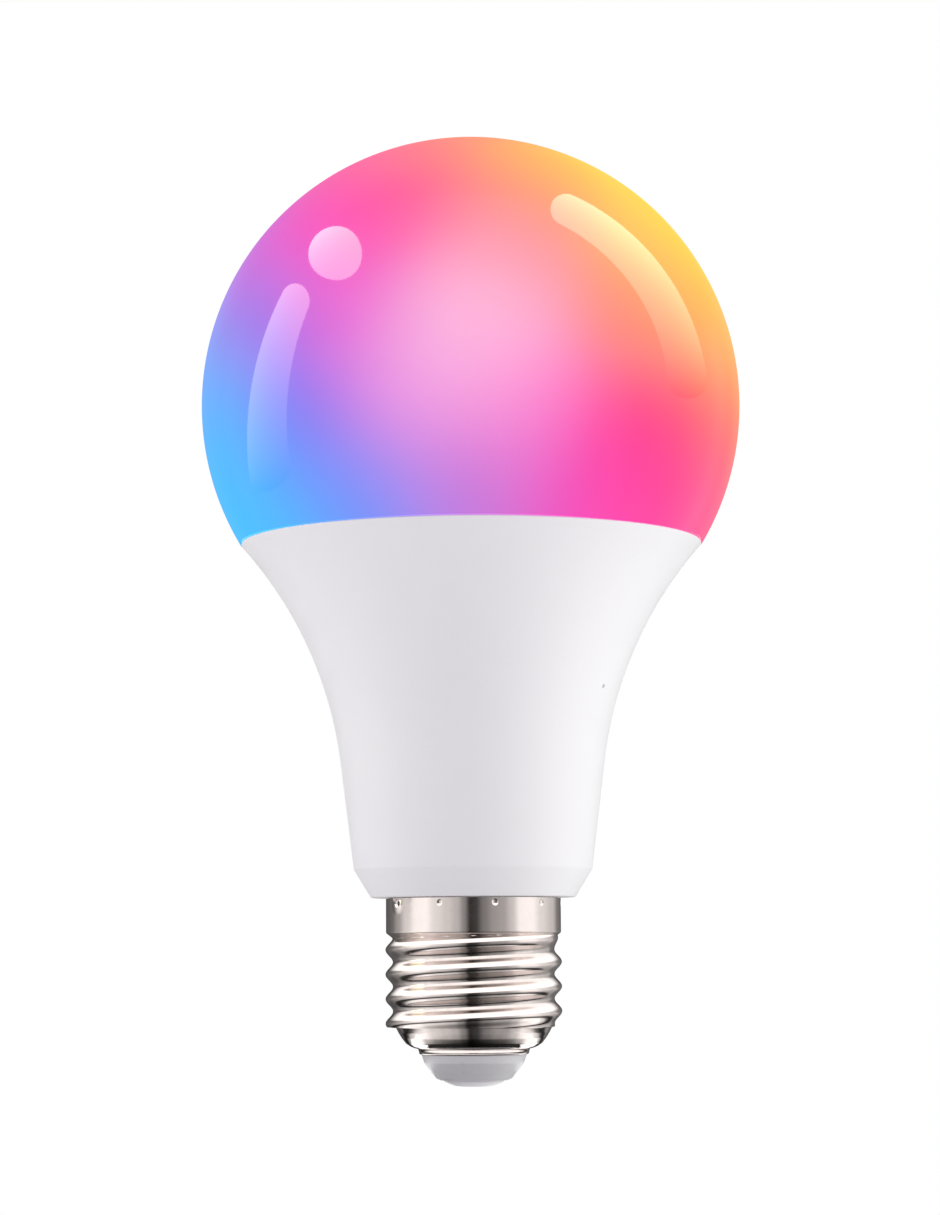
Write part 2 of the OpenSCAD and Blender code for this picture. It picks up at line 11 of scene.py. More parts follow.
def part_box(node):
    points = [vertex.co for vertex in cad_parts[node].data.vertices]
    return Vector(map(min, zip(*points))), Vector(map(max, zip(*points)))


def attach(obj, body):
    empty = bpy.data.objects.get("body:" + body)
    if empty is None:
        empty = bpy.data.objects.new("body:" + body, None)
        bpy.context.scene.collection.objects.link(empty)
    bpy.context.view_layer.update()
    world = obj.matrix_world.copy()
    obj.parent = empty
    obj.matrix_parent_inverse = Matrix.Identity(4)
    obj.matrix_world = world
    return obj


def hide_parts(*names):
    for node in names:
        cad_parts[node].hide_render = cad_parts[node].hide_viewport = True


bl_info = {
    "name": "Smart light bulb",
    "version": (1, 0, 0),
    "blender": (4, 5, 0),
    "location": "3D View > Sidebar > Bulb",
    "description": "Builds an opal globe lamp with its body, screw cap and inner pieces",
    "category": "Object",
}

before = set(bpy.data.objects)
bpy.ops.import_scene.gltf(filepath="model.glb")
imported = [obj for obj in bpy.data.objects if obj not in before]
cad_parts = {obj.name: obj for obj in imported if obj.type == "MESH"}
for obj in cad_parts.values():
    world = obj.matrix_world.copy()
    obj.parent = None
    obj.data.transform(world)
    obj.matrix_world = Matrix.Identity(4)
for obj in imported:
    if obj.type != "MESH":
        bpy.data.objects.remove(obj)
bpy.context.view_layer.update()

MM = 0.001
GLOBE_LOW, GLOBE_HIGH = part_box("diffuser_globe")
CAP_LOW, CAP_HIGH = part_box("screw_cap")

# The globe is a sphere of GLOBE_R about GLOBE_Z; the body's rim meets it at RIM_Z
GLOBE_R = min(GLOBE_HIGH.x, -GLOBE_LOW.x)
GLOBE_Z = GLOBE_HIGH.z - GLOBE_R
RIM_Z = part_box("body_shell")[1].z


# ------------------------------------------------------------------ sizes and colours


def length(name, text, value, low=0.0, high=0.2):
    """A size in metres, shown with a length unit."""
    return FloatProperty(
        name=name, description=text, default=value, min=low, max=high,
        subtype="DISTANCE", unit="LENGTH", precision=5,
    )


def angle(name, text, degrees):
    """An angle, given here in degrees."""
    return FloatProperty(
        name=name, description=text, default=math.radians(degrees), subtype="ANGLE", unit="ROTATION"
    )


def colour(name, text, value):
    """A linear colour without alpha."""
    return FloatVectorProperty(
        name=name, description=text, default=value, size=3, min=0.0, max=1.0, subtype="COLOR"
    )


class BulbGlobe(bpy.types.PropertyGroup):
    wall: length("Wall", "Thickness of the opal wall", 1.5 * MM)
    skirt_in: length("Skirt inside", "Inner radius of the skirt under the globe", 30.2 * MM)
    skirt_out: length("Skirt outside", "Outer radius of the skirt under the globe", 31.4 * MM)
    flange: length("Flange", "Height of the thick edge above the seam", 1.2 * MM)
    glow: FloatProperty(name="Glow", description="Strength of the light through the wall", default=0.97)
    spread: FloatProperty(
        name="Spread", description="How sharply one colour gives way to the next", default=26.0
    )


class BulbBody(bpy.types.PropertyGroup):
    neck_r: length("Neck radius", "Outer radius above the foot chamfer", 17.75 * MM)
    neck_z: length("Neck height", "Height of the foot chamfer's upper edge", 32 * MM)
    taper: angle("Taper", "Slope of the straight lower wall from the axis", 7)
    straight: length("Straight wall", "Length of the straight lower wall", 16 * MM)
    wall: length("Wall", "Thickness of the plastic wall", 1.4 * MM)
    foot_r: length("Foot radius", "Radius of the flat underside", 15.2 * MM)
    foot_z: length("Foot height", "Height of the flat underside", 27.8 * MM)
    shade: colour("Plastic", "Colour of the white plastic", (0.86, 0.855, 0.865))


class BulbCap(bpy.types.PropertyGroup):
    crest_r: length("Crest radius", "Radius over the thread crests", 13.1 * MM)
    root_r: length("Root radius", "Radius at the thread roots", 12.0 * MM)
    pitch: length("Pitch", "Rise of the thread in one turn", 3.629 * MM)
    phase: length("Phase", "Height of the thread crest at the +X side", 18.285 * MM)
    collar_r: length("Collar radius", "Radius of the plain collar", 13.0 * MM)
    collar_z: length("Collar height", "Lower edge of the plain collar", 22.4 * MM)
    sheet: length("Sheet", "Thickness of the rolled sheet", 0.3 * MM)
    columns: IntProperty(name="Columns", description="Faces round the cap", default=216, min=48)
    punches: IntProperty(name="Punches", description="Staking dents round the collar", default=10)
    nickel: colour("Nickel", "Colour of the plated metal", (0.88, 0.79, 0.755))


class BulbStage(bpy.types.PropertyGroup):
    distance: length("Camera distance", "How far the camera stands from the axis", 0.5, high=5)
    eye: length("Camera height", "How high the camera stands", 19 * MM)
    aside: length("Camera aside", "How far right of the axis the camera stands", -0.26 * MM, low=-0.2)
    pitch: angle("Camera pitch", "How far the camera looks up", 5.96)
    roll: angle("Camera roll", "How far the camera leans", 0.31)
    lens: FloatProperty(name="Lens", description="Focal length in millimetres", default=99.2)
    white: FloatProperty(name="White", description="Brightness of the plain background", default=1.0)


SETS = {"globe": BulbGlobe, "body": BulbBody, "cap": BulbCap, "stage": BulbStage}


def settings(context, part):
    return getattr(context.scene, "bulb_" + part)


# ------------------------------------------------------------------ node helpers


class Graph:
    """Adds nodes to one tree and links what it is given."""

    def __init__(self, tree):
        self.tree = tree

    def add(self, kind, inputs=None, **values):
        node = self.tree.nodes.new(kind)
        for name, value in values.items():
            setattr(node, name, value)
        for key, value in (inputs or {}).items():
            self.put(node.inputs[key], value)
        return node

    def put(self, socket, value):
        if isinstance(value, bpy.types.NodeSocket):
            self.tree.links.new(value, socket)
        else:
            socket.default_value = value

    def math(self, operation, *values):
        node = self.add("ShaderNodeMath", dict(enumerate(values)), operation=operation)
        return node.outputs[0]

    def vector(self, operation, *values):
        node = self.add("ShaderNodeVectorMath", dict(enumerate(values)), operation=operation)
        scalar = operation in ("DOT_PRODUCT", "LENGTH", "DISTANCE")
        return node.outputs["Value" if scalar else "Vector"]

    def span(self, value, low, high, to_low=0.0, to_high=1.0, smooth=True):
        """Maps value from low..high to to_low..to_high."""
        node = self.add(
            "ShaderNodeMapRange",
            {"Value": value, "From Min": low, "From Max": high, "To Min": to_low, "To Max": to_high},
            interpolation_type="SMOOTHSTEP" if smooth else "LINEAR",
        )
        return node.outputs["Result"]

    def mix(self, factor, first, second, blend="MIX"):
        node = self.add("ShaderNodeMix", data_type="RGBA", blend_type=blend)
        for socket, value in zip((node.inputs[0], node.inputs[6], node.inputs[7]), (factor, first, second)):
            self.put(socket, value)
        return node.outputs[2]

    def ramp(self, value, stops, smooth=True):
        """Colour ramp whose stops are (position, grey or colour)."""
        node = self.add("ShaderNodeValToRGB", {0: value})
        node.color_ramp.interpolation = "EASE" if smooth else "LINEAR"
        points = node.color_ramp.elements
        while len(points) < len(stops):
            points.new(0.5)
        for point, (position, shade) in zip(points, stops):
            point.position = position
            point.color = rgba(shade)
        return node.outputs[0]

    def place(self, centre=(0, 0, 0), scale=(1, 1, 1)):
        """Object coordinates about a centre, stretched by a scale."""
        where = self.add("ShaderNodeTexCoord").outputs["Object"]
        moved = self.vector("SUBTRACT", where, tuple(centre))
        return self.vector("MULTIPLY", moved, tuple(scale))

    def off_axis(self, centre=(0, 0, 0)):
        """Distance from the upright axis through a centre."""
        return self.vector("LENGTH", self.place(centre, (1, 1, 0)))

    def split(self, value):
        return self.add("ShaderNodeSeparateXYZ", {0: value}).outputs

    def join(self, x=0.0, y=0.0, z=0.0):
        return self.add("ShaderNodeCombineXYZ", {0: x, 1: y, 2: z}).outputs[0]

    def round_axis(self, radius, turn, height):
        """Point at a radius, an angle round the z axis and a height."""
        x = self.math("MULTIPLY", radius, self.math("COSINE", turn))
        y = self.math("MULTIPLY", radius, self.math("SINE", turn))
        return self.join(x, y, height)

    def noise(self, where, scale, detail=3.0):
        node = self.add(
            "ShaderNodeTexNoise",
            {"Vector": where, "Scale": scale, "Detail": detail, "Roughness": 0.5},
        )
        return node.outputs[0]

    def bump(self, height, depth, strength=1.0):
        node = self.add("ShaderNodeBump", {"Height": height, "Distance": depth, "Strength": strength})
        return node.outputs[0]


def rgba(shade):
    if isinstance(shade, (int, float)):
        shade = (shade, shade, shade)
    return (*shade[:3], 1.0)


def scaled(shade, factor):
    return tuple(min(1.0, part * factor) for part in shade[:3])


def from_hex(code):
    """Linear colour from a six-figure sRGB code."""
    parts = [int(code[i : i + 2], 16) / 255 for i in (0, 2, 4)]
    return tuple(p / 12.92 if p <= 0.04045 else ((p + 0.055) / 1.055) ** 2.4 for p in parts)


def material(name):
    """New node material: its graph and its shader."""
    made = bpy.data.materials.new(name)
    made.use_nodes = True
    return made, Graph(made.node_tree), made.node_tree.nodes["Principled BSDF"]


def finish(
    name, shade, rough=0.5, metal=0.0, mottle=0.06, grain=900.0, relief=2e-6,
    stretch=(1, 1, 1), rough_swing=0.08,
):
    """Plain surface with a grain: colour, roughness and relief follow one noise."""
    made, graph, shader = material(name)
    where = graph.place(scale=stretch)
    fine = graph.noise(where, grain)
    broad = graph.noise(graph.place(), grain / 12, 2.0)
    blotch = graph.math("MULTIPLY_ADD", fine, 0.6, graph.math("MULTIPLY", broad, 0.4))
    tint = graph.span(blotch, 0.3, 0.7)
    base = graph.mix(tint, rgba(scaled(shade, 1 - mottle)), rgba(scaled(shade, 1 + mottle)))
    graph.put(shader.inputs["Base Color"], base)
    low, high = max(0.02, rough - rough_swing), min(1.0, rough + rough_swing)
    graph.put(shader.inputs["Roughness"], graph.span(blotch, 0.3, 0.7, low, high))
    graph.put(shader.inputs["Normal"], graph.bump(fine, relief))
    shader.inputs["Metallic"].default_value = metal
    shader.inputs["IOR"].default_value = 1.5
    return made, graph, shader, base


# ------------------------------------------------------------------ mesh helpers


def arc(centre, radius, start, end, steps):
    """Points of an arc in the half section; angles in radians from the +r direction."""
    return [
        (
            centre[0] + radius * math.cos(start + (end - start) * i / steps),
            centre[1] + radius * math.sin(start + (end - start) * i / steps),
        )
        for i in range(steps + 1)
    ]


def rounded(outline, steps=4):
    """Closed outline whose corners (r, z, radius) become arcs; (r, z) stays a point."""
    out = []
    count = len(outline)
    for i, corner in enumerate(outline):
        here = Vector(corner[:2])
        if len(corner) < 3:
            out.append(tuple(here))
            continue
        before = Vector(outline[i - 1][:2]) - here
        after = Vector(outline[(i + 1) % count][:2]) - here
        half = before.angle(after) / 2
        reach = min(corner[2] / math.tan(half), before.length * 0.49, after.length * 0.49)
        radius = reach * math.tan(half)
        centre = here + (before.normalized() + after.normalized()).normalized() * radius / math.sin(half)
        first = (here + before.normalized() * reach - centre).normalized()
        last = (here + after.normalized() * reach - centre).normalized()
        for k in range(steps + 1):
            out.append(tuple(centre + first.slerp(last, k / steps) * radius))
    return out


def revolve(name, outline, columns):
    """Closed solid of revolution from a closed half section in the (r, z) plane."""
    shape = bmesh.new()
    rings = []
    for radius, height in outline:
        if radius < 1e-7:
            rings.append([shape.verts.new((0, 0, height))] * columns)
            continue
        rings.append([
            shape.verts.new((
                radius * math.cos(math.tau * k / columns), radius * math.sin(math.tau * k / columns), height
            ))
            for k in range(columns)
        ])
    for ring, other in zip(rings, rings[1:] + rings[:1]):
        for k in range(columns):
            corners = [ring[k], ring[(k + 1) % columns], other[(k + 1) % columns], other[k]]
            corners = list(dict.fromkeys(corners))
            if len(corners) > 2:
                shape.faces.new(corners)
    bmesh.ops.recalc_face_normals(shape, faces=shape.faces)
    mesh = bpy.data.meshes.new(name)
    shape.to_mesh(mesh)
    shape.free()
    return mesh


def block(name, low, high, turn=0.0):
    """Closed block between two corners, turned about the z axis."""
    shape = bmesh.new()
    size = [b - a for a, b in zip(low, high)]
    middle = [(a + b) / 2 for a, b in zip(low, high)]
    place = Matrix.Rotation(turn, 4, "Z") @ Matrix.Translation(middle) @ Matrix.Diagonal((*size, 1))
    bmesh.ops.create_cube(shape, size=1.0, matrix=place)
    mesh = bpy.data.meshes.new(name)
    shape.to_mesh(mesh)
    shape.free()
    return link(name, mesh)


def link(name, mesh):
    made = bpy.data.objects.new(name, mesh)
    bpy.context.scene.collection.objects.link(made)
    return made


def settle(piece, node, made, sharp=35):
    """Gives a finished piece its shading and material, and lets it stand for a CAD node."""
    piece.data.materials.clear()
    piece.data.materials.append(made)
    piece.data.polygons.foreach_set("use_smooth", [True] * len(piece.data.polygons))
    piece.data.set_sharp_from_angle(angle=math.radians(sharp))
    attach(piece, "root")
    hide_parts(node)
    return piece


def evaluated(piece):
    """Plain mesh of a piece with its modifiers applied and removed."""
    graph = bpy.context.evaluated_depsgraph_get()
    mesh = bpy.data.meshes.new_from_object(piece.evaluated_get(graph))
    piece.modifiers.clear()
    piece.data = mesh
    return piece


def modify(piece, tree, **inputs):
    """Adds a Geometry Nodes modifier and sets its inputs by name."""
    modifier = piece.modifiers.new(tree.name, "NODES")
    modifier.node_group = tree
    for item in tree.interface.items_tree:
        key = item.name.lower().replace(" ", "_")
        if item.item_type == "SOCKET" and item.in_out == "INPUT" and key in inputs:
            modifier[item.identifier] = inputs[key]
    return modifier


def form_tree(name, sockets):
    """Empty geometry tree with a geometry in and out and the named inputs."""
    tree = bpy.data.node_groups.new(name, "GeometryNodeTree")
    tree.interface.new_socket("Geometry", in_out="INPUT", socket_type="NodeSocketGeometry")
    for label, kind in sockets:
        tree.interface.new_socket(label, in_out="INPUT", socket_type="NodeSocket" + kind)
    tree.interface.new_socket("Geometry", in_out="OUTPUT", socket_type="NodeSocketGeometry")
    graph = Graph(tree)
    return tree, graph, graph.add("NodeGroupInput").outputs


def close_tree(graph, geometry, made):
    """Ends a geometry tree in Realize Instances and Set Material."""
    real = graph.add("GeometryNodeRealizeInstances", {"Geometry": geometry})
    dressed = graph.add("GeometryNodeSetMaterial", {"Geometry": real.outputs[0], "Material": made})
    graph.add("NodeGroupOutput", {"Geometry": dressed.outputs[0]})


# ------------------------------------------------------------------ globe

# Light colours inside the globe: direction round the axis from the front, height, colour
GLOW = [
    (-78, -26, "44BEFF"), (-52, -26, "46BAFF"), (-26, -26, "6490FA"), (0, -26, "BE7CDC"),
    (26, -26, "F048BC"), (50, -26, "FF3CA0"), (76, -26, "FF5A98"),
    (-88, -6, "54B4FF"), (-62, -8, "58B4FF"), (-38, -8, "6E6AF0"), (-14, -6, "EA88DC"),
    (10, -8, "FF7ECE"), (38, -14, "FF1478"), (60, -8, "FF5C62"), (86, -8, "FF8A66"),
    (-80, 14, "82A0F6"), (-52, 14, "A07EEC"), (-25, 12, "EE64D0"), (-2, 5, "FFCEEA"), (6, 21, "FFA2C0"),
    (35, 12, "FF8C76"), (62, 12, "FFBA62"), (88, 14, "FFB85E"),
    (-68, 34, "D86CD6"), (-40, 34, "FC56BC"), (-18, 36, "FF509C"), (14, 36, "FF8E76"),
    (46, 32, "FFD062"), (76, 34, "FFE052"),
    (-52, 56, "FE68A8"), (-16, 56, "FF8286"), (24, 54, "FFBC66"), (66, 56, "FFE05A"),
    (0, 82, "FF9C7C"),
    (106, -24, "FF5890"), (136, -24, "FA58B0"), (166, -24, "E468D0"), (-164, -24, "C070E4"),
    (-134, -24, "7C8EF6"), (-106, -24, "52B6FF"),
    (112, 6, "FF9070"), (142, 6, "FF7C98"), (172, 6, "FF86B8"), (-158, 6, "D884DC"),
    (-130, 6, "9A86F2"), (-106, 8, "6AA8FC"),
    (106, 36, "FFCC5C"), (140, 36, "FFAA78"), (172, 36, "FF8CA0"), (-156, 36, "F870B4"),
    (-126, 36, "D074DC"), (-97, 34, "A884EE"),
    (120, 64, "FFC068"), (180, 64, "FF947C"), (-120, 64, "F46CB4"),
]


def facing(turn, height):
    """Unit vector for a direction round the axis from the front and a height angle, in degrees."""
    turn, height = math.radians(turn), math.radians(height)
    return Vector((
        math.cos(height) * math.sin(turn), -math.cos(height) * math.cos(turn), math.sin(height)
    ))


def opal(sizes):
    """Lit opal plastic: soft colours that run into each other, under a glossy skin."""
    made, graph, shader = material("opal_plastic")
    where = graph.vector("NORMALIZE", graph.place((0, 0, GLOBE_Z)))
    total, weights = (0.0, 0.0, 0.0), 0.0
    for turn, height, code in GLOW:
        near = graph.vector("DOT_PRODUCT", where, tuple(facing(turn, height)))
        fall = graph.math("MULTIPLY_ADD", near, sizes.spread, -sizes.spread)
        weight = graph.math("EXPONENT", fall)
        total = graph.vector("MULTIPLY_ADD", from_hex(code), weight, total)
        weights = graph.math("ADD", weight, weights)
    mixed = graph.vector("DIVIDE", total, weights)
    cloud = graph.noise(graph.place(), 60.0, 2.0)
    lit = graph.vector("SCALE", mixed)
    graph.put(lit.node.inputs["Scale"], graph.span(cloud, 0.3, 0.7, 0.985, 1.015))
    # Painted light: the base colour is the inner light's colours dimmed to 7%, where the opal itself is
    # white.
    skin = graph.vector("SCALE", mixed)
    skin.node.inputs["Scale"].default_value = 0.07
    graph.put(shader.inputs["Base Color"], skin)
    graph.put(shader.inputs["Emission Color"], lit)
    shader.inputs["Emission Strength"].default_value = sizes.glow
    ripple = graph.noise(graph.place(), 240.0, 2.0)
    graph.put(shader.inputs["Roughness"], graph.span(ripple, 0.3, 0.7, 0.03, 0.05))
    graph.put(shader.inputs["Normal"], graph.bump(ripple, 1.2e-6))
    shader.inputs["IOR"].default_value = 1.5
    shader.inputs["Specular IOR Level"].default_value = 0.2
    return made


class BULB_OT_globe(bpy.types.Operator):
    """Build the opal globe with its flange and skirt"""

    bl_idname = "bulb.globe"
    bl_label = "Globe"

    def execute(self, context):
        sizes = settings(context, "globe")
        seam = GLOBE_LOW.z
        seam_z = RIM_Z + 0.05 * MM
        inner = GLOBE_R - sizes.wall
        flange_z = seam_z + sizes.flange
        centre = (0.0, GLOBE_Z)
        low = math.asin((seam_z - GLOBE_Z) / GLOBE_R)
        top = math.pi / 2
        inside = math.asin((flange_z - GLOBE_Z) / inner)
        outline = arc(centre, GLOBE_R, low, top, 120)
        outline += arc(centre, inner, top, inside, 80)
        outline += rounded([
            (sizes.skirt_in, flange_z, 0.3 * MM), (sizes.skirt_in, seam, 0.2 * MM),
            (sizes.skirt_out, seam, 0.2 * MM), (sizes.skirt_out, seam_z),
        ])
        mesh = revolve("globe", outline, 256)
        settle(link("globe", mesh), "diffuser_globe", opal(sizes))
        return {"FINISHED"}


# ------------------------------------------------------------------ body


# Specks moulded into the plastic: where they lie and how large they are
SPECKS = [
    ((19.3 * MM, -10.6 * MM, 58.4 * MM), 0.42 * MM), ((-10.4 * MM, -21.0 * MM, 64.5 * MM), 0.30 * MM),
    ((7.5 * MM, 17.8 * MM, 44.0 * MM), 0.35 * MM),
]


def white_plastic(shade):
    """Fine matt moulded plastic with faint flow marks and a few specks."""
    made, graph, shader, base = finish(
        "white_plastic", shade, 0.46, mottle=0.008, grain=2600.0, relief=5e-6, rough_swing=0.05
    )
    flow = graph.noise(graph.place(scale=(1, 1, 0.25)), 55.0, 2.0)
    toned = graph.mix(graph.span(flow, 0.35, 0.65, 0.0, 0.35), base, rgba(scaled(shade, 0.985)))
    final = toned
    for place, radius in SPECKS:
        gap = graph.vector("LENGTH", graph.place(place))
        inside = graph.span(gap, radius, radius * 0.5)
        final = graph.mix(inside, final, rgba((0.45, 0.42, 0.40)))
    graph.put(shader.inputs["Base Color"], final)
    return made


class BULB_OT_body(bpy.types.Operator):
    """Build the flared plastic body with its rim groove, foot and cap neck"""

    bl_idname = "bulb.body"
    bl_label = "Body"

    def execute(self, context):
        s = settings(context, "body")
        along = Vector((math.sin(s.taper), math.cos(s.taper)))
        out = Vector((math.cos(s.taper), -math.sin(s.taper)))
        start = Vector((s.neck_r, s.neck_z)) + s.straight * along
        rim_r = math.sqrt(GLOBE_R**2 - (GLOBE_Z - RIM_Z) ** 2)
        chord = Vector((rim_r, RIM_Z)) - start
        flare = chord.length_squared / (2 * chord.dot(out))
        centre = start + flare * out

        def sweep(inset, from_z, to_z, steps):
            """Flare set in by inset, from one height to another."""
            radius = flare + inset
            ends = [math.pi - math.asin((z - centre.y) / radius) for z in (from_z, to_z)]
            return arc(centre, radius, ends[0], ends[1], steps)

        inner_start = start - s.wall * out
        wall_r = s.neck_r - s.wall / math.cos(s.taper)
        # Neck that carries the cap's collar, its narrow end inside the thread, and the floor
        collar_r, tail_r, bore_r, floor_r = 12.6 * MM, 11.45 * MM, 10.2 * MM, 14.45 * MM
        step_z, tail_z, floor_z = 22.6 * MM, 17 * MM, 29.3 * MM
        # Shelf under the light board, and the groove that takes the globe's skirt
        shelf_r, shelf_z = 29 * MM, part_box("heat_spreader")[0].z
        groove_in, groove_out, groove_z = 30.05 * MM, 31.55 * MM, 78.4 * MM
        outline = [(rim_r, RIM_Z, 0.25 * MM)]
        outline += sweep(0, RIM_Z - 0.6 * MM, start.y, 72)
        outline += [
            (s.neck_r, s.neck_z, 0.9 * MM), (s.foot_r, s.foot_z, 0.35 * MM),
            (collar_r, s.foot_z, 0.1 * MM), (collar_r, step_z, 0.2 * MM),
            (tail_r, step_z, 0.1 * MM), (tail_r, tail_z, 0.3 * MM),
            (bore_r, tail_z, 0.3 * MM), (bore_r, floor_z, 0.2 * MM),
            (floor_r, floor_z, 0.5 * MM), (wall_r, s.neck_z), tuple(inner_start),
        ]
        outline += sweep(s.wall, inner_start.y + 0.5 * MM, shelf_z, 40)
        outline += [
            (shelf_r, shelf_z, 0.1 * MM), (shelf_r, RIM_Z, 0.2 * MM), (groove_in, RIM_Z, 0.2 * MM),
            (groove_in, groove_z, 0.1 * MM), (groove_out, groove_z, 0.1 * MM),
            (groove_out, RIM_Z, 0.15 * MM),
        ]
        piece = link("body", revolve("body", rounded(outline), 256))
        # Slot for the neutral lead, and four guides that hold the driver board upright
        slot_low, slot_high = (10.6 * MM, -0.5 * MM, 16 * MM), (13.1 * MM, 0.5 * MM, 27.15 * MM)
        cutters = [("DIFFERENCE", block("lead_slot", slot_low, slot_high, math.radians(210)))]
        for x_side, y_side in ((-1, -1), (-1, 1), (1, -1), (1, 1)):
            x_low, x_high = sorted((x_side * 11.5 * MM, x_side * 14.9 * MM))
            y_low, y_high = sorted((y_side * 0.85 * MM, y_side * 2.35 * MM))
            guide = block("guide", (x_low, y_low, 28.9 * MM), (x_high, y_high, 32.6 * MM))
            cutters.append(("UNION", guide))
        for operation, cutter in cutters:
            step = piece.modifiers.new(cutter.name, "BOOLEAN")
            step.operation, step.object, step.solver = operation, cutter, "EXACT"
        evaluated(piece)
        for _, cutter in cutters:
            bpy.data.objects.remove(cutter)
        settle(piece, "body_shell", white_plastic(s.shade))
        return {"FINISHED"}


# ------------------------------------------------------------------ screw cap


def nickel_plate(sizes):
    """Bright nickel with rolling marks; the base colour darkens towards the thread roots, a painted shade
    in the grooves.
    """
    made, graph, shader = material("nickel_plate")
    streaks = graph.noise(graph.place(scale=(0.12, 0.12, 1)), 5200.0, 4.0)
    fine = graph.noise(graph.place(), 900.0, 3.0)
    # Painted shade: the base colour falls to 80% from the crests down to the thread roots, where the
    # grooves are.
    proud = graph.span(graph.off_axis(), sizes.root_r, sizes.crest_r)
    groove_shade = graph.mix(proud, rgba(scaled(sizes.nickel, 0.80)), rgba(sizes.nickel))
    shade = graph.mix(graph.span(fine, 0.35, 0.75, 0.0, 0.5), groove_shade, rgba(scaled(sizes.nickel, 0.94)))
    graph.put(shader.inputs["Base Color"], shade)
    shader.inputs["Metallic"].default_value = 1.0
    marks = graph.math("MULTIPLY_ADD", streaks, 0.5, graph.math("MULTIPLY", fine, 0.5))
    graph.put(shader.inputs["Roughness"], graph.span(marks, 0.3, 0.7, 0.06, 0.12))
    graph.put(shader.inputs["Normal"], graph.bump(fine, 1.0e-6, 0.4))
    return made


def thread_tree():
    """Turns a half section round the axis and raises the screw thread on it."""
    tree, g, given = form_tree("cap_form", [
        ("Columns", "Int"), ("Crest radius", "Float"), ("Root radius", "Float"), ("Pitch", "Float"),
        ("Phase", "Float"), ("First turn", "Float"), ("Last turn", "Float"), ("Fade", "Float"),
        ("Bulge", "Float"), ("Bulge width", "Float"), ("Bulge place", "Vector"), ("Material", "Material"),
    ])
    section = given["Geometry"]
    pitch = given["Pitch"]
    rows = g.add("GeometryNodeAttributeDomainSize", {0: section}).outputs["Point Count"]
    grid = g.add("GeometryNodeMeshGrid", {
        "Size X": 1.0, "Size Y": 1.0, "Vertices X": g.math("ADD", given["Columns"], 1.0),
        "Vertices Y": rows,
    })
    index = g.add("GeometryNodeInputIndex").outputs[0]
    column = g.math("FLOOR", g.math("DIVIDE", g.math("ADD", index, 0.5), rows))
    row = g.math("SUBTRACT", index, g.math("MULTIPLY", column, rows))
    sample = g.add("GeometryNodeSampleIndex", data_type="FLOAT_VECTOR")
    g.put(sample.inputs["Geometry"], section)
    g.put(sample.inputs["Value"], g.add("GeometryNodeInputPosition").outputs[0])
    g.put(sample.inputs["Index"], row)
    point = g.split(sample.outputs[0])
    base, height = point["X"], point["Z"]

    # Distance along the axis from the nearest crest, and that crest's turn
    turn = g.math("DIVIDE", column, given["Columns"])
    above = g.math("SUBTRACT", height, given["Phase"])
    rise = g.math("SUBTRACT", above, g.math("MULTIPLY", turn, pitch))
    half = g.math("MULTIPLY", pitch, 0.5)
    offset = g.math("WRAP", rise, half, g.math("MULTIPLY", half, -1.0))
    crest_turn = g.math("DIVIDE", g.math("SUBTRACT", above, offset), pitch)

    # The sheet is rolled to a soft wave, faded out at both ends
    depth = g.math("SUBTRACT", given["Crest radius"], given["Root radius"])
    wave = g.math("COSINE", g.math("MULTIPLY", g.math("DIVIDE", offset, pitch), math.tau))
    lift = g.math("MULTIPLY", depth, g.math("MULTIPLY_ADD", wave, 0.5, 0.5))
    first, last, fade = given["First turn"], given["Last turn"], given["Fade"]
    fade_in = g.span(crest_turn, first, g.math("ADD", first, fade))
    fade_out = g.span(crest_turn, last, g.math("SUBTRACT", last, fade))
    lift = g.math("MULTIPLY", lift, g.math("MULTIPLY", fade_in, fade_out))
    threaded = g.math("ADD", given["Root radius"], lift)
    in_thread = g.math("GREATER_THAN", base, g.math("MULTIPLY", given["Root radius"], 0.965))
    reach = g.math("MAXIMUM", base, g.math("MULTIPLY", threaded, in_thread))

    # Bulge of the pinched lead
    round_angle = g.math("MULTIPLY", turn, math.tau)
    spot = g.round_axis(base, round_angle, height)
    gone = g.math("DIVIDE", g.vector("DISTANCE", spot, given["Bulge place"]), given["Bulge width"])
    swell = g.math("MULTIPLY", given["Bulge"], g.span(gone, 1.0, 0.35))
    reach = g.math("ADD", reach, swell)

    place = g.round_axis(reach, round_angle, height)
    moved = g.add("GeometryNodeSetPosition", {"Geometry": grid.outputs["Mesh"], "Position": place})
    sewn = g.add("GeometryNodeMergeByDistance", {"Geometry": moved.outputs[0], "Distance": 1e-6})
    outward = g.add("GeometryNodeFlipFaces", {"Mesh": sewn.outputs[0]})
    close_tree(g, outward.outputs[0], given["Material"])
    return tree


def punch_tree():
    """Cuts a ring of small round dents into what it is given."""
    tree, g, given = form_tree("cap_punches", [
        ("Count", "Int"), ("Ring radius", "Float"), ("Height", "Float"), ("Turn", "Float"),
        ("Punch radius", "Float"), ("Material", "Material"),
    ])
    ring = g.add("GeometryNodeMeshCircle", {"Vertices": given["Count"], "Radius": given["Ring radius"]})
    ball = g.add("GeometryNodeMeshUVSphere", {"Segments": 20, "Rings": 12, "Radius": given["Punch radius"]})
    dots = g.add("GeometryNodeInstanceOnPoints", {"Points": ring.outputs[0], "Instance": ball.outputs[0]})
    placed = g.add("GeometryNodeTransform", {
        "Geometry": dots.outputs[0], "Translation": g.join(z=given["Height"]),
        "Rotation": g.join(z=given["Turn"]),
    })
    cutters = g.add("GeometryNodeRealizeInstances", {"Geometry": placed.outputs[0]})
    cut = g.add("GeometryNodeMeshBoolean", operation="DIFFERENCE", solver="EXACT")
    g.put(cut.inputs[0], given["Geometry"])
    g.put(cut.inputs[1], cutters.outputs[0])
    close_tree(g, cut.outputs[0], given["Material"])
    return tree


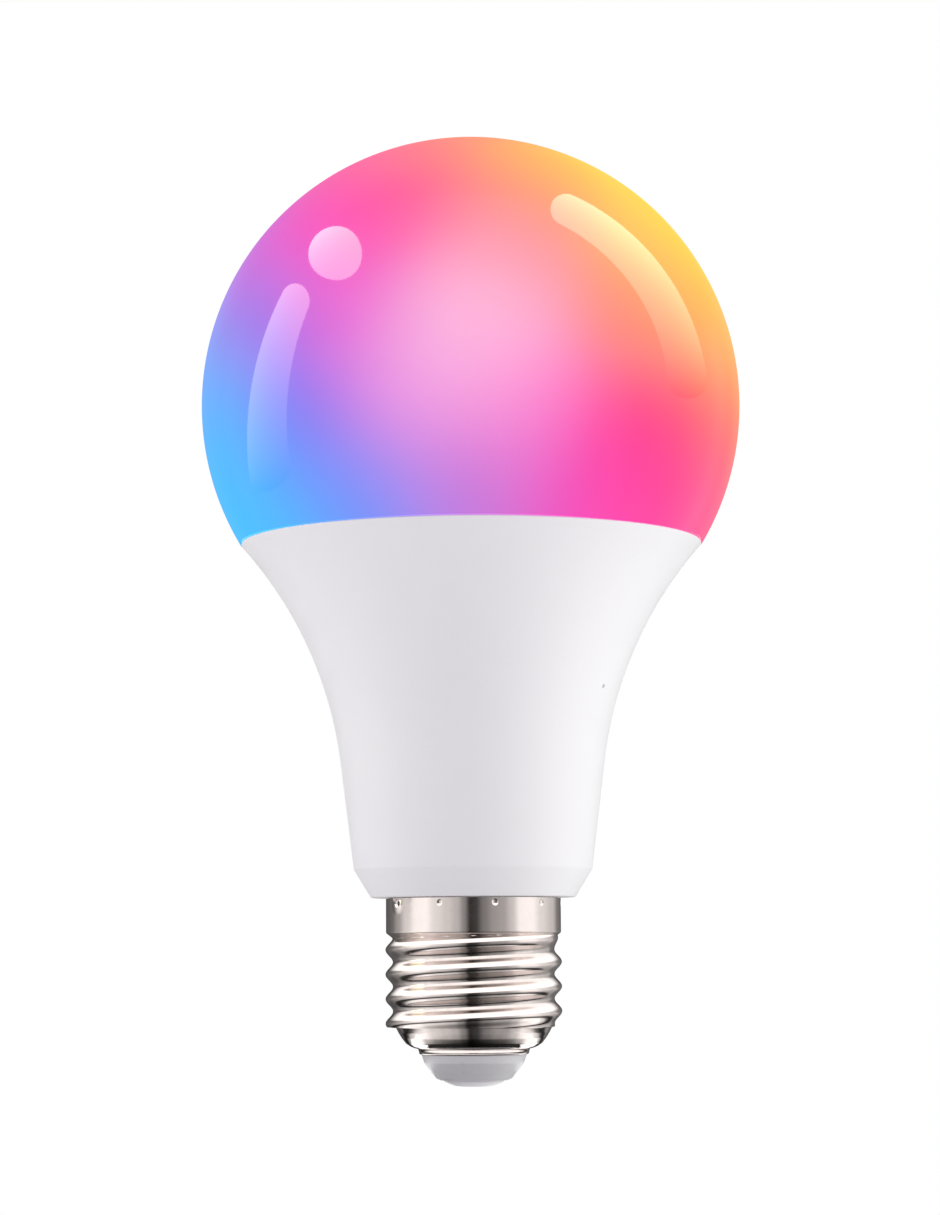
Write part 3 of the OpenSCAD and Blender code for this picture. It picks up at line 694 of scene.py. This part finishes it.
# Half section of the cap's shoulder below the thread: radius and height in millimetres
SHOULDER = [
    (11.62, 8.72), (11.2, 7.9), (10.72, 7.12), (10.1, 6.32), (9.4, 5.86), (8.8, 5.62), (8.3, 5.52),
]


def cap_section(s):
    """Points of the cap's outer half section, from the collar's top edge to the lip."""
    low = CAP_LOW.z
    points = [(s.collar_r, CAP_HIGH.z), (s.collar_r, s.collar_z + 0.5 * MM)]
    points += arc((s.collar_r - 0.35 * MM, s.collar_z + 0.35 * MM), 0.35 * MM, 0, -math.pi / 2.6, 5)
    points += [(s.root_r + 0.12 * MM, s.collar_z - 0.5 * MM), (s.root_r, s.collar_z - 0.75 * MM)]
    points += [(s.root_r, 9.25 * MM)] + [(r * MM, z * MM) for r, z in SHOULDER]
    points += [(8.29 * MM, low + 1.0 * MM), (8.15 * MM, low + 0.6 * MM)]
    points += arc((7.9 * MM, low + 0.52 * MM), 0.26 * MM, math.radians(-19), -math.pi / 2, 6)
    step = 0.115 * MM
    dense = [points[0]]
    for a, b in zip(points, points[1:]):
        parts = max(1, round((Vector(b) - Vector(a)).length / step))
        dense += [tuple(Vector(a).lerp(Vector(b), k / parts)) for k in range(1, parts + 1)]
    return dense


class BULB_OT_cap(bpy.types.Operator):
    """Build the rolled sheet-metal screw cap with its thread and staking dents"""

    bl_idname = "bulb.cap"
    bl_label = "Screw cap"

    def execute(self, context):
        s = settings(context, "cap")
        section = cap_section(s)
        mesh = bpy.data.meshes.new("cap")
        mesh.from_pydata([(r, 0, z) for r, z in section], [(i, i + 1) for i in range(len(section) - 1)], [])
        piece = link("cap", mesh)
        made = nickel_plate(s)
        # The neutral lead, pinched under the collar 60 degrees to the left
        lead = facing(-60, 0) * s.collar_r
        lead.z = 26.6 * MM
        modify(
            piece, thread_tree(), columns=s.columns, crest_radius=s.crest_r, root_radius=s.root_r,
            pitch=s.pitch, phase=s.phase, first_turn=-2.72, last_turn=1.1, fade=0.22,
            bulge=0.22 * MM, bulge_width=1.5 * MM, bulge_place=tuple(lead), material=made,
        )
        shell = piece.modifiers.new("sheet", "SOLIDIFY")
        shell.thickness = s.sheet
        shell.offset = -1
        modify(
            piece, punch_tree(), count=s.punches, ring_radius=s.collar_r + 0.6 * MM,
            height=26.9 * MM, turn=math.radians(-148), punch_radius=0.8 * MM, material=made,
        )
        settle(evaluated(piece), "screw_cap", made, sharp=32)
        return {"FINISHED"}


class BULB_OT_insulator(bpy.types.Operator):
    """Build the insulator cone under the cap and the centre contact in it"""

    bl_idname = "bulb.insulator"
    bl_label = "Insulator and contact"

    def execute(self, context):
        # Half sections: radius, height and corner radius in millimetres
        cone = [
            (2.1, 0.9, 0.05), (5.0, 0.9, 0.1), (5.65, 1.2, 0.4), (6.45, 2.2, 0.6), (7.4, 3.5, 0.5),
            (7.82, 4.75, 0.12), (7.4, 4.75, 0.05), (7.4, 5.75, 0.05), (8.1, 5.75, 0.1), (8.1, 7, 0.2),
            (2.1, 7, 0.1),
        ]
        disc = [
            (0, 0), (2.2, 0, 0.6), (3.05, 0.1, 0.8), (4.0, 0.48, 0.8), (4.5, 0.77, 0.12),
            (4.5, 0.88, 0.04), (1.9, 0.88, 0.05), (1.9, 6.2, 0.1), (0.5, 6.2, 0.05), (0.5, 3, 0.05), (0, 3),
        ]
        plastic = finish(
            "insulator_plastic", (0.66, 0.655, 0.67), 0.34, mottle=0.02, grain=1500.0, relief=2e-6
        )[0]
        shape = rounded([tuple(v * MM for v in corner) for corner in cone])
        piece = link("insulator", revolve("insulator", shape, 192))
        settle(piece, "cap_insulator", plastic)
        plate, graph, shader, _ = finish(
            "contact_plate", (0.86, 0.85, 0.86), 0.45, metal=0.3, mottle=0.03, grain=700.0, relief=1e-6
        )
        rings = graph.add("ShaderNodeTexWave", {
            "Vector": graph.place(), "Scale": 900.0, "Distortion": 1.5, "Detail": 2.0,
        }, wave_type="RINGS", rings_direction="Z")
        graph.put(shader.inputs["Normal"], graph.bump(rings.outputs["Fac"], 2e-6))
        shape = rounded([tuple(v * MM for v in corner) for corner in disc])
        piece = link("contact", revolve("contact", shape, 128))
        settle(piece, "centre_contact", plate)
        return {"FINISHED"}


# ------------------------------------------------------------------ inner pieces


def dress(node, made):
    """Gives a carried-over CAD node its material."""
    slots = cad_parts[node].data.materials
    slots.clear()
    slots.append(made)


def plain(nodes, name, shade, rough, metal=0.0, **grain):
    """Gives one or more carried-over CAD nodes a plain finish."""
    made = finish(name, shade, rough, metal, **grain)[0]
    for node in nodes.split():
        dress(node, made)


def circuit(name, shade, pitch):
    """Board laminate: mask over copper tracks that run along x and z."""
    made, graph, shader, base = finish(name, shade, 0.28, mottle=0.05, grain=1200.0, relief=2e-6)
    flat = graph.add("ShaderNodeMapping", {
        "Vector": graph.place(), "Rotation": (math.pi / 2, 0, 0),
    }).outputs[0]
    nests = graph.add(
        "ShaderNodeTexVoronoi", {"Vector": flat, "Scale": 0.2 / pitch},
        voronoi_dimensions="2D", distance="CHEBYCHEV",
    ).outputs["Distance"]
    wave = graph.math("SINE", graph.math("MULTIPLY", nests, math.tau * 5))
    lines = graph.span(wave, 0.45, 0.65)
    graph.put(shader.inputs["Base Color"], graph.mix(lines, base, rgba(scaled(shade, 1.9))))
    graph.put(shader.inputs["Normal"], graph.bump(lines, 2e-5))
    return made


def spun_metal(name, shade, rough):
    """Metal sheet with the circular marks of spinning."""
    made, graph, shader, _ = finish(name, shade, rough, 1.0, grain=3000.0, stretch=(0.3, 0.3, 1.0))
    rings = graph.math("SINE", graph.math("MULTIPLY", graph.off_axis(), 9000.0))
    graph.put(shader.inputs["Normal"], graph.bump(rings, 1.5e-6))
    return made


def wound(node, name, shade, pitch, rough, metal):
    """Winding: turns stacked along the axis, with painted shade darkening the base colour in the grooves
    between turns.
    """
    made, graph, shader, base = finish(name, shade, rough, metal, 0.08, 1500.0, 1e-6)
    low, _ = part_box(node)
    height = graph.split(graph.place((0, 0, low.z)))["Z"]
    turns = graph.math("ABSOLUTE", graph.math("SINE", graph.math("MULTIPLY", height, math.pi / pitch)))
    # Painted shade: the base colour darkens to 45% in the grooves between turns, where the relief dips.
    graph.put(shader.inputs["Base Color"], graph.mix(turns, rgba(scaled(shade, 0.45)), base))
    graph.put(shader.inputs["Normal"], graph.bump(turns, pitch * 0.3))
    return made


def sleeved(name, shade, stripe, node):
    """Can capacitor: shrunk sleeve with a pale stripe, bare metal top."""
    made, graph, shader, base = finish(name, shade, 0.22, 0.0, 0.05, 900.0, 1e-6)
    low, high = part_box(node)
    middle = (low + high) / 2
    part = graph.split(graph.place((middle.x, middle.y, 0)))
    side = graph.math("ABSOLUTE", graph.math("ARCTAN2", part["Y"], part["X"]))
    band = graph.span(side, 0.45, 0.5, 1.0, 0.0)
    top = graph.math("GREATER_THAN", part["Z"], high.z - 0.55 * MM)
    within = graph.math("LESS_THAN", graph.off_axis(middle), (high.x - low.x) / 2 - 0.45 * MM)
    lid = graph.math("MULTIPLY", top, within)
    striped = graph.mix(band, base, rgba(stripe))
    graph.put(shader.inputs["Base Color"], graph.mix(lid, striped, rgba((0.78, 0.78, 0.79))))
    graph.put(shader.inputs["Metallic"], lid)
    return made


def lit_window(name, shade, strength):
    """Phosphor or clear window over a chip that is switched on."""
    made, graph, shader, base = finish(name, shade, 0.25, 0.0, 0.1, 2500.0, 2e-6)
    graph.put(shader.inputs["Emission Color"], base)
    shader.inputs["Emission Strength"].default_value = strength
    return made


class BULB_OT_light_board(bpy.types.Operator):
    """Dress the light board, its packages and the metal parts that carry it"""

    bl_idname = "bulb.light_board"
    bl_label = "Light board"

    def execute(self, context):
        made, graph, shader, base = finish(
            "board_white", (0.88, 0.88, 0.85), 0.4, mottle=0.02, grain=1400.0
        )
        wave = graph.math("SINE", graph.math("MULTIPLY", graph.off_axis(), math.tau / (3.1 * MM)))
        track = graph.span(wave, 0.86, 0.94)
        graph.put(shader.inputs["Base Color"], graph.mix(track, base, rgba((0.74, 0.73, 0.68))))
        graph.put(shader.inputs["Normal"], graph.bump(track, 2e-5))
        dress("led_board", made)
        dress("warm_phosphors", lit_window("warm_phosphor", (0.90, 0.42, 0.08), 1.2))
        dress("cool_phosphors", lit_window("cool_phosphor", (0.88, 0.74, 0.14), 1.2))
        dress("rgb_windows", lit_window("clear_window", (0.70, 0.66, 0.84), 1.5))
        dress("heat_sink_liner", spun_metal("liner_aluminium", (0.78, 0.79, 0.80), 0.38))
        dress("heat_spreader", spun_metal("pressed_aluminium", (0.82, 0.83, 0.84), 0.3))
        plain(
            "warm_white_leds cool_white_leds rgb_leds", "package_plastic", (0.84, 0.82, 0.75), 0.5,
            mottle=0.03, grain=2500.0,
        )
        plain("thermal_pad", "thermal_rubber", (0.30, 0.38, 0.50), 0.8, grain=1800.0, relief=2e-5)
        plain("globe_adhesive", "sealant", (0.80, 0.80, 0.77), 0.55, grain=400.0, relief=3e-5)
        plain("board_screws", "screw_steel", (0.70, 0.70, 0.69), 0.3, 1.0, grain=1600.0)
        plain("board_socket", "socket_plastic", (0.82, 0.80, 0.72), 0.42, grain=1600.0)
        return {"FINISHED"}


class BULB_OT_radio(bpy.types.Operator):
    """Dress the radio board and what is soldered to it"""

    bl_idname = "bulb.radio"
    bl_label = "Radio"

    def execute(self, context):
        dress("radio_board", circuit("board_dark_green", (0.012, 0.075, 0.035), 1.3 * MM))
        plain("radio_chip", "chip_epoxy", (0.025, 0.025, 0.028), 0.55, mottle=0.25, grain=5200.0)
        plain("radio_crystal", "crystal_can", (0.78, 0.76, 0.70), 0.26, 1.0, grain=900.0)
        plain(
            "radio_shield", "tinned_sheet", (0.76, 0.76, 0.77), 0.3, 1.0,
            grain=1200.0, stretch=(1, 1, 0.08),
        )
        plain(
            "antenna_trace radio_pins header_pins", "gold_plate", (0.88, 0.66, 0.28), 0.22, 1.0,
            mottle=0.05, grain=1500.0,
        )
        return {"FINISHED"}


class BULB_OT_driver(bpy.types.Operator):
    """Dress the driver board, its parts and the mains leads"""

    bl_idname = "bulb.driver"
    bl_label = "Driver"

    def execute(self, context):
        dress("driver_board", circuit("board_green", (0.02, 0.16, 0.06), 2.2 * MM))
        plain(
            "bridge_rectifier driver_chip dimming_chip", "black_epoxy", (0.022, 0.022, 0.025), 0.5,
            mottle=0.25, grain=5200.0, relief=6e-6,
        )
        plain(
            "chip_legs component_leads neutral_lead", "tinned_metal", (0.76, 0.76, 0.77), 0.28, 1.0,
            mottle=0.06, grain=1800.0,
        )
        plain(
            "transformer_core choke_core", "ferrite", (0.045, 0.045, 0.05), 0.62,
            mottle=0.3, grain=3200.0, relief=1.5e-5,
        )
        sleeves = {
            "bulk_capacitor": ("capacitor_blue", (0.02, 0.03, 0.13), (0.55, 0.6, 0.7)),
            "output_capacitor": ("capacitor_black", (0.015, 0.015, 0.018), (0.7, 0.62, 0.4)),
        }
        for node, look in sleeves.items():
            dress(node, sleeved(*look, node))
        # Name, colour, pitch of the turns, roughness, metal
        windings = {
            "transformer_winding": ("winding_tape", (0.85, 0.55, 0.06), 2.9 * MM, 0.28, 0.0),
            "choke_winding": ("copper_wire", (0.62, 0.24, 0.09), 0.42 * MM, 0.3, 0.8),
            "fuse_resistor": ("fuse_coating", (0.10, 0.22, 0.34), 2.7 * MM, 0.4, 0.0),
        }
        for node, look in windings.items():
            dress(node, wound(node, *look))
        plain("film_capacitor", "film_yellow", (0.72, 0.40, 0.02), 0.3, grain=700.0, relief=6e-6)
        plain("transformer_bobbin", "bobbin_black", (0.02, 0.02, 0.02), 0.45, grain=1500.0)
        plain("varistor", "varistor_coating", (0.02, 0.06, 0.34), 0.25, grain=350.0, relief=3e-5)
        plain("surface_resistors", "resistor_body", (0.02, 0.02, 0.025), 0.4, mottle=0.2, grain=2500.0)
        plain("ceramic_capacitors", "ceramic_tan", (0.40, 0.26, 0.13), 0.5, mottle=0.1, grain=2200.0)
        plain("live_lead", "lead_insulation", (0.45, 0.015, 0.012), 0.35, grain=1200.0, relief=4e-6)
        return {"FINISHED"}


# ------------------------------------------------------------------ stage

# Soft lights that the globe's skin reflects, drawn as they lie on the globe seen from the
# camera, in globe radii: distance from its middle at start, half way and end, turn from its
# top towards the right in degrees, half width at start and end, brightness, fade along it.
LIGHTS = {
    "left_strip": {
        "reach": (0.772, 0.752, 0.800), "turns": (-58, -108), "half": (0.054, 0.082),
        "glow": 8.6, "fade": 1.0,
    },
    "right_strip": {
        "reach": (0.815, 0.817, 0.815), "turns": (26, 84), "half": (0.057, 0.074),
        "glow": 8.8, "fade": 1.0,
    },
    "round_lamp": {
        "reach": (0.76, 0.76, 0.76), "turns": (-41.0, -41.001), "half": (0.1, 0.1),
        "glow": 12.5, "fade": 0.15,
    },
}
CARD_TINT = (1.0, 0.97, 0.78)
CARD_AWAY = 0.16

# Ring lights round the axis, by radius and brightness: one over the thread, one low down
# that only the cap's lip mirrors
RING_Z = 27.4 * MM
RING = [(13.3 * MM, 1.4), (50 * MM, 1.4), (120 * MM, 1.2)]
LOW_RING_Z = 0.1 * MM
LOW_RING = [(9.5 * MM, 1.5), (18 * MM, 1.5)]

# Brightness round the axis from behind, over the left, the front and the right: what metal
# mirrors near the horizon, and what lights matt surfaces
MIRRORED = [
    (0.0, 0.05), (0.09, 0.12), (0.125, 0.16), (0.175, 0.38), (0.225, 0.75), (0.278, 1.12), (0.317, 1.15),
    (0.36, 0.84), (0.405, 0.70), (0.44, 0.55), (0.467, 0.27), (0.487, 0.03), (0.508, 0.05), (0.54, 0.22),
    (0.575, 0.36), (0.61, 0.42), (0.645, 0.66), (0.68, 1.12), (0.73, 1.15), (0.78, 0.84), (0.85, 0.62),
    (0.908, 0.2), (1.0, 0.05),
]
LIT = [
    (0.0, 0.82), (0.12, 0.95), (0.24, (1.40, 1.38, 1.42)), (0.27, (1.45, 1.43, 1.47)),
    (0.32, (0.92, 0.90, 0.94)), (0.37, (0.65, 0.63, 0.67)), (0.43, (0.78, 0.75, 0.80)),
    (0.50, (0.80, 0.77, 0.82)), (0.57, (0.85, 0.83, 0.86)), (0.63, 1.08), (0.68, 1.28), (0.74, 1.55),
    (0.77, 1.60), (0.82, 1.1), (0.88, 0.76), (1.0, 0.82),
]


def bearing(g, way):
    """Turn round the axis of a direction, 0 to 1, with 0.5 to the front."""
    part = g.split(way)
    swung = g.math("ARCTAN2", part["X"], g.math("MULTIPLY", part["Y"], -1.0))
    return g.math("MULTIPLY_ADD", swung, 1 / math.tau, 0.5), part["Z"]


def studio_world(context):
    """Plain white to the eye; soft sides and dark gaps for surfaces to light up and mirror."""
    world = bpy.data.worlds.new("studio")
    context.scene.world = world
    world.use_nodes = True
    world.node_tree.nodes.clear()
    g = Graph(world.node_tree)
    turn, rise = bearing(g, g.add("ShaderNodeTexCoord").outputs["Generated"])
    over = g.ramp(turn, [(0.0, 0.03), (0.16, 0.04), (0.3, 0.35), (0.7, 0.35), (0.84, 0.04), (1.0, 0.03)])
    mirror = g.mix(g.span(rise, 0.22, 0.42), g.ramp(turn, MIRRORED), over)
    rays = g.add("ShaderNodeLightPath").outputs
    seen = g.mix(rays["Is Glossy Ray"], g.ramp(turn, LIT), mirror)
    white = settings(context, "stage").white
    final = g.mix(rays["Is Camera Ray"], seen, rgba(white))
    back = g.add("ShaderNodeBackground", {"Color": final, "Strength": 1.0})
    g.add("ShaderNodeOutputWorld", {"Surface": back.outputs[0]})


def lamp_material(name, tone=None, tint=(1.0, 1.0, 1.0), cover=None):
    """Emission read from the mesh or from a given tone; cover says where it is there at all."""
    made = bpy.data.materials.new(name)
    made.use_nodes = True
    made.node_tree.nodes.clear()
    g = Graph(made.node_tree)
    if tone:
        look = {"Color": tone(g)}
    else:
        glow = g.add("ShaderNodeAttribute", attribute_name="glow").outputs["Fac"]
        look = {"Color": rgba(tint), "Strength": glow}
    surface = g.add("ShaderNodeEmission", look).outputs[0]
    if cover:
        clear = g.add("ShaderNodeBsdfTransparent").outputs[0]
        surface = g.add("ShaderNodeMixShader", {0: cover(g), 1: clear, 2: surface}).outputs[0]
    g.add("ShaderNodeOutputMaterial", {"Surface": surface})
    return made


def from_above(g):
    """There from above, clear from below."""
    behind = g.add("ShaderNodeNewGeometry").outputs["Backfacing"]
    return g.math("SUBTRACT", 1.0, behind)


def slant(g):
    """Upward part of the direction that the light leaves in."""
    return g.split(g.add("ShaderNodeNewGeometry").outputs["Incoming"])["Z"]


def from_below(g):
    """There from below, and less and less at a shallow angle."""
    return g.span(g.math("MULTIPLY", slant(g), -1.0), 0.20, 0.46)


def grazing(g):
    """There at shallow angles only, clear at steep ones."""
    return g.span(g.math("ABSOLUTE", slant(g)), 0.72, 0.64)


def floor_tone(g):
    """Plain white to the eye, the studio's sides to the rest, dimmer under the lamp."""
    rays = g.add("ShaderNodeLightPath").outputs
    where = g.place()
    reach = g.span(g.vector("LENGTH", where), 0.0, 0.5, smooth=False)
    turn, _ = bearing(g, where)
    mirror_fall = g.ramp(reach, [
        (0.0, 0.02), (0.0255, 0.03), (0.029, 1.15), (0.040, 1.05), (0.044, 0.04), (0.053, 0.04),
        (0.064, 0.6), (0.15, 1.0),
    ])
    soft_fall = g.ramp(reach, [
        (0.0, 1.45), (0.0085, 1.4), (0.0125, 0.66), (0.016, 0.56), (0.03, 0.66), (0.08, 0.88), (0.2, 1.0),
    ])
    mirror = g.mix(1.0, g.ramp(turn, MIRRORED), mirror_fall, "MULTIPLY")
    soft = g.mix(1.0, g.ramp(turn, LIT), soft_fall, "MULTIPLY")
    return g.mix(rays["Is Camera Ray"], g.mix(rays["Is Glossy Ray"], soft, mirror), rgba(1.0))


def hide_from_eye(card):
    """A card that only mirrors can see."""
    card.visible_camera = False
    card.visible_diffuse = False
    card.visible_shadow = False


def glowing(name, verts, faces, glow, made):
    """Card from points and faces, with a brightness at each point."""
    mesh = bpy.data.meshes.new(name)
    mesh.from_pydata(verts, [], faces)
    mesh.attributes.new("glow", "FLOAT", "POINT").data.foreach_set("value", glow)
    mesh.materials.append(made)
    hide_from_eye(link(name, mesh))


def ring_light(name, rings, height, cover):
    """Flat ring round the axis, its brightness given by radius."""
    steps, rows = 64, len(rings)
    verts = [
        (r * math.cos(math.tau * k / steps), r * math.sin(math.tau * k / steps), height)
        for k in range(steps) for r, _ in rings
    ]
    count = len(verts)
    faces = [
        (a, (a + rows) % count, (a + rows + 1) % count, a + 1)
        for k in range(steps) for a in range(k * rows, k * rows + rows - 1)
    ]
    glow = [bright for _, bright in rings] * steps
    glowing(name, verts, faces, glow, lamp_material(name, cover=cover))


def light_card(name, eye, middle, spec):
    """Card whose reflection in the globe covers a band on it, round at both ends."""
    ahead = (middle - eye).normalized()
    up = (Vector((0, 0, 1)) - ahead * ahead.z).normalized()
    right = ahead.cross(up)
    start, half_way, end = spec["reach"]
    first, last = (math.radians(a) for a in spec["turns"])
    bend = spec["half"][0] / half_way
    sense = 1 if last > first else -1
    across, along = 16, 48
    verts, glow = [], []
    for i in range(along + 1):
        # Closer steps at the round ends
        t = 0.5 - 0.5 * math.cos(math.pi * i / along)
        turn = first - sense * bend + t * (last - first + 2 * sense * bend)
        past = max(0.0, sense * (first - turn), sense * (turn - last)) / bend
        half = spec["half"][0] * (1 - t) + spec["half"][1] * t
        width = half * math.sqrt(max(0.0, 1 - past * past))
        reach = (1 - t) * (1 - 2 * t) * start + 4 * t * (1 - t) * half_way + t * (2 * t - 1) * end
        for k in range(across + 1):
            away = reach + width * (2 * k / across - 1)
            side = right * math.sin(turn) + up * math.cos(turn)
            look = (middle + side * away * GLOBE_R - eye).normalized()
            near = (middle - eye).dot(look)
            touch = eye + look * (near - math.sqrt(near**2 - (middle - eye).length_squared + GLOBE_R**2))
            normal = (touch - middle).normalized()
            bounce = look - 2 * look.dot(normal) * normal
            verts.append(touch + bounce * CARD_AWAY)
            glow.append(spec["glow"] * (1 - spec["fade"] * t**1.6))
    faces = [
        (a, a + 1, a + across + 2, a + across + 1)
        for i in range(along) for a in range(i * (across + 1), i * (across + 1) + across)
    ]
    glowing(name, [tuple(v) for v in verts], faces, glow, lamp_material(name, tint=CARD_TINT))


class BULB_OT_stage(bpy.types.Operator):
    """Set the floor, the lights and the camera"""

    bl_idname = "bulb.stage"
    bl_label = "Stage"

    def execute(self, context):
        s = settings(context, "stage")
        context.scene.view_settings.view_transform = "Standard"
        studio_world(context)
        mesh = bpy.data.meshes.new("floor")
        half, level = 3.0, -0.02 * MM
        corners = [(x * half, y * half, level) for x, y in ((-1, -1), (1, -1), (1, 1), (-1, 1))]
        mesh.from_pydata(corners, [], [(0, 1, 2, 3)])
        floor = link("floor", mesh)
        floor.data.materials.append(lamp_material("pale_floor", floor_tone, cover=from_above))
        camera = bpy.data.cameras.new("camera")
        camera.sensor_fit = "VERTICAL"
        camera.sensor_height = 36.0
        camera.lens = s.lens
        eye = bpy.data.objects.new("camera", camera)
        context.scene.collection.objects.link(eye)
        stand = Matrix.Translation((s.aside, -s.distance, s.eye))
        aim = Matrix.Rotation(math.pi / 2 + s.pitch, 4, "X") @ Matrix.Rotation(-s.roll, 4, "Z")
        eye.matrix_world = stand @ aim
        context.scene.camera = eye
        for name, spec in LIGHTS.items():
            light_card(name, eye.matrix_world.translation, Vector((0, 0, GLOBE_Z)), spec)
        ring_light("ring_light", RING, RING_Z, from_below)
        ring_light("low_ring", LOW_RING, LOW_RING_Z, grazing)
        return {"FINISHED"}


# ------------------------------------------------------------------ panel and registration

OPERATORS = (
    BULB_OT_stage, BULB_OT_globe, BULB_OT_body, BULB_OT_cap, BULB_OT_insulator,
    BULB_OT_light_board, BULB_OT_radio, BULB_OT_driver,
)


class BULB_PT_panel(bpy.types.Panel):
    bl_idname = "BULB_PT_panel"
    bl_label = "Smart light bulb"
    bl_space_type = "VIEW_3D"
    bl_region_type = "UI"
    bl_category = "Bulb"

    def draw(self, context):
        for part, group in SETS.items():
            box = self.layout.box()
            box.label(text=part.capitalize())
            for name in group.__annotations__:
                box.prop(settings(context, part), name)
        for operator in OPERATORS:
            self.layout.operator(operator.bl_idname)


CLASSES = (*SETS.values(), *OPERATORS, BULB_PT_panel)


def register():
    for item in CLASSES:
        bpy.utils.register_class(item)
    for part, group in SETS.items():
        setattr(bpy.types.Scene, "bulb_" + part, PointerProperty(type=group))


def unregister():
    for part in SETS:
        delattr(bpy.types.Scene, "bulb_" + part)
    for item in reversed(CLASSES):
        bpy.utils.unregister_class(item)


def main():
    register()
    for operator in OPERATORS:
        group, name = operator.bl_idname.split(".")
        getattr(getattr(bpy.ops, group), name)()


if __name__ == "__main__":
    main()
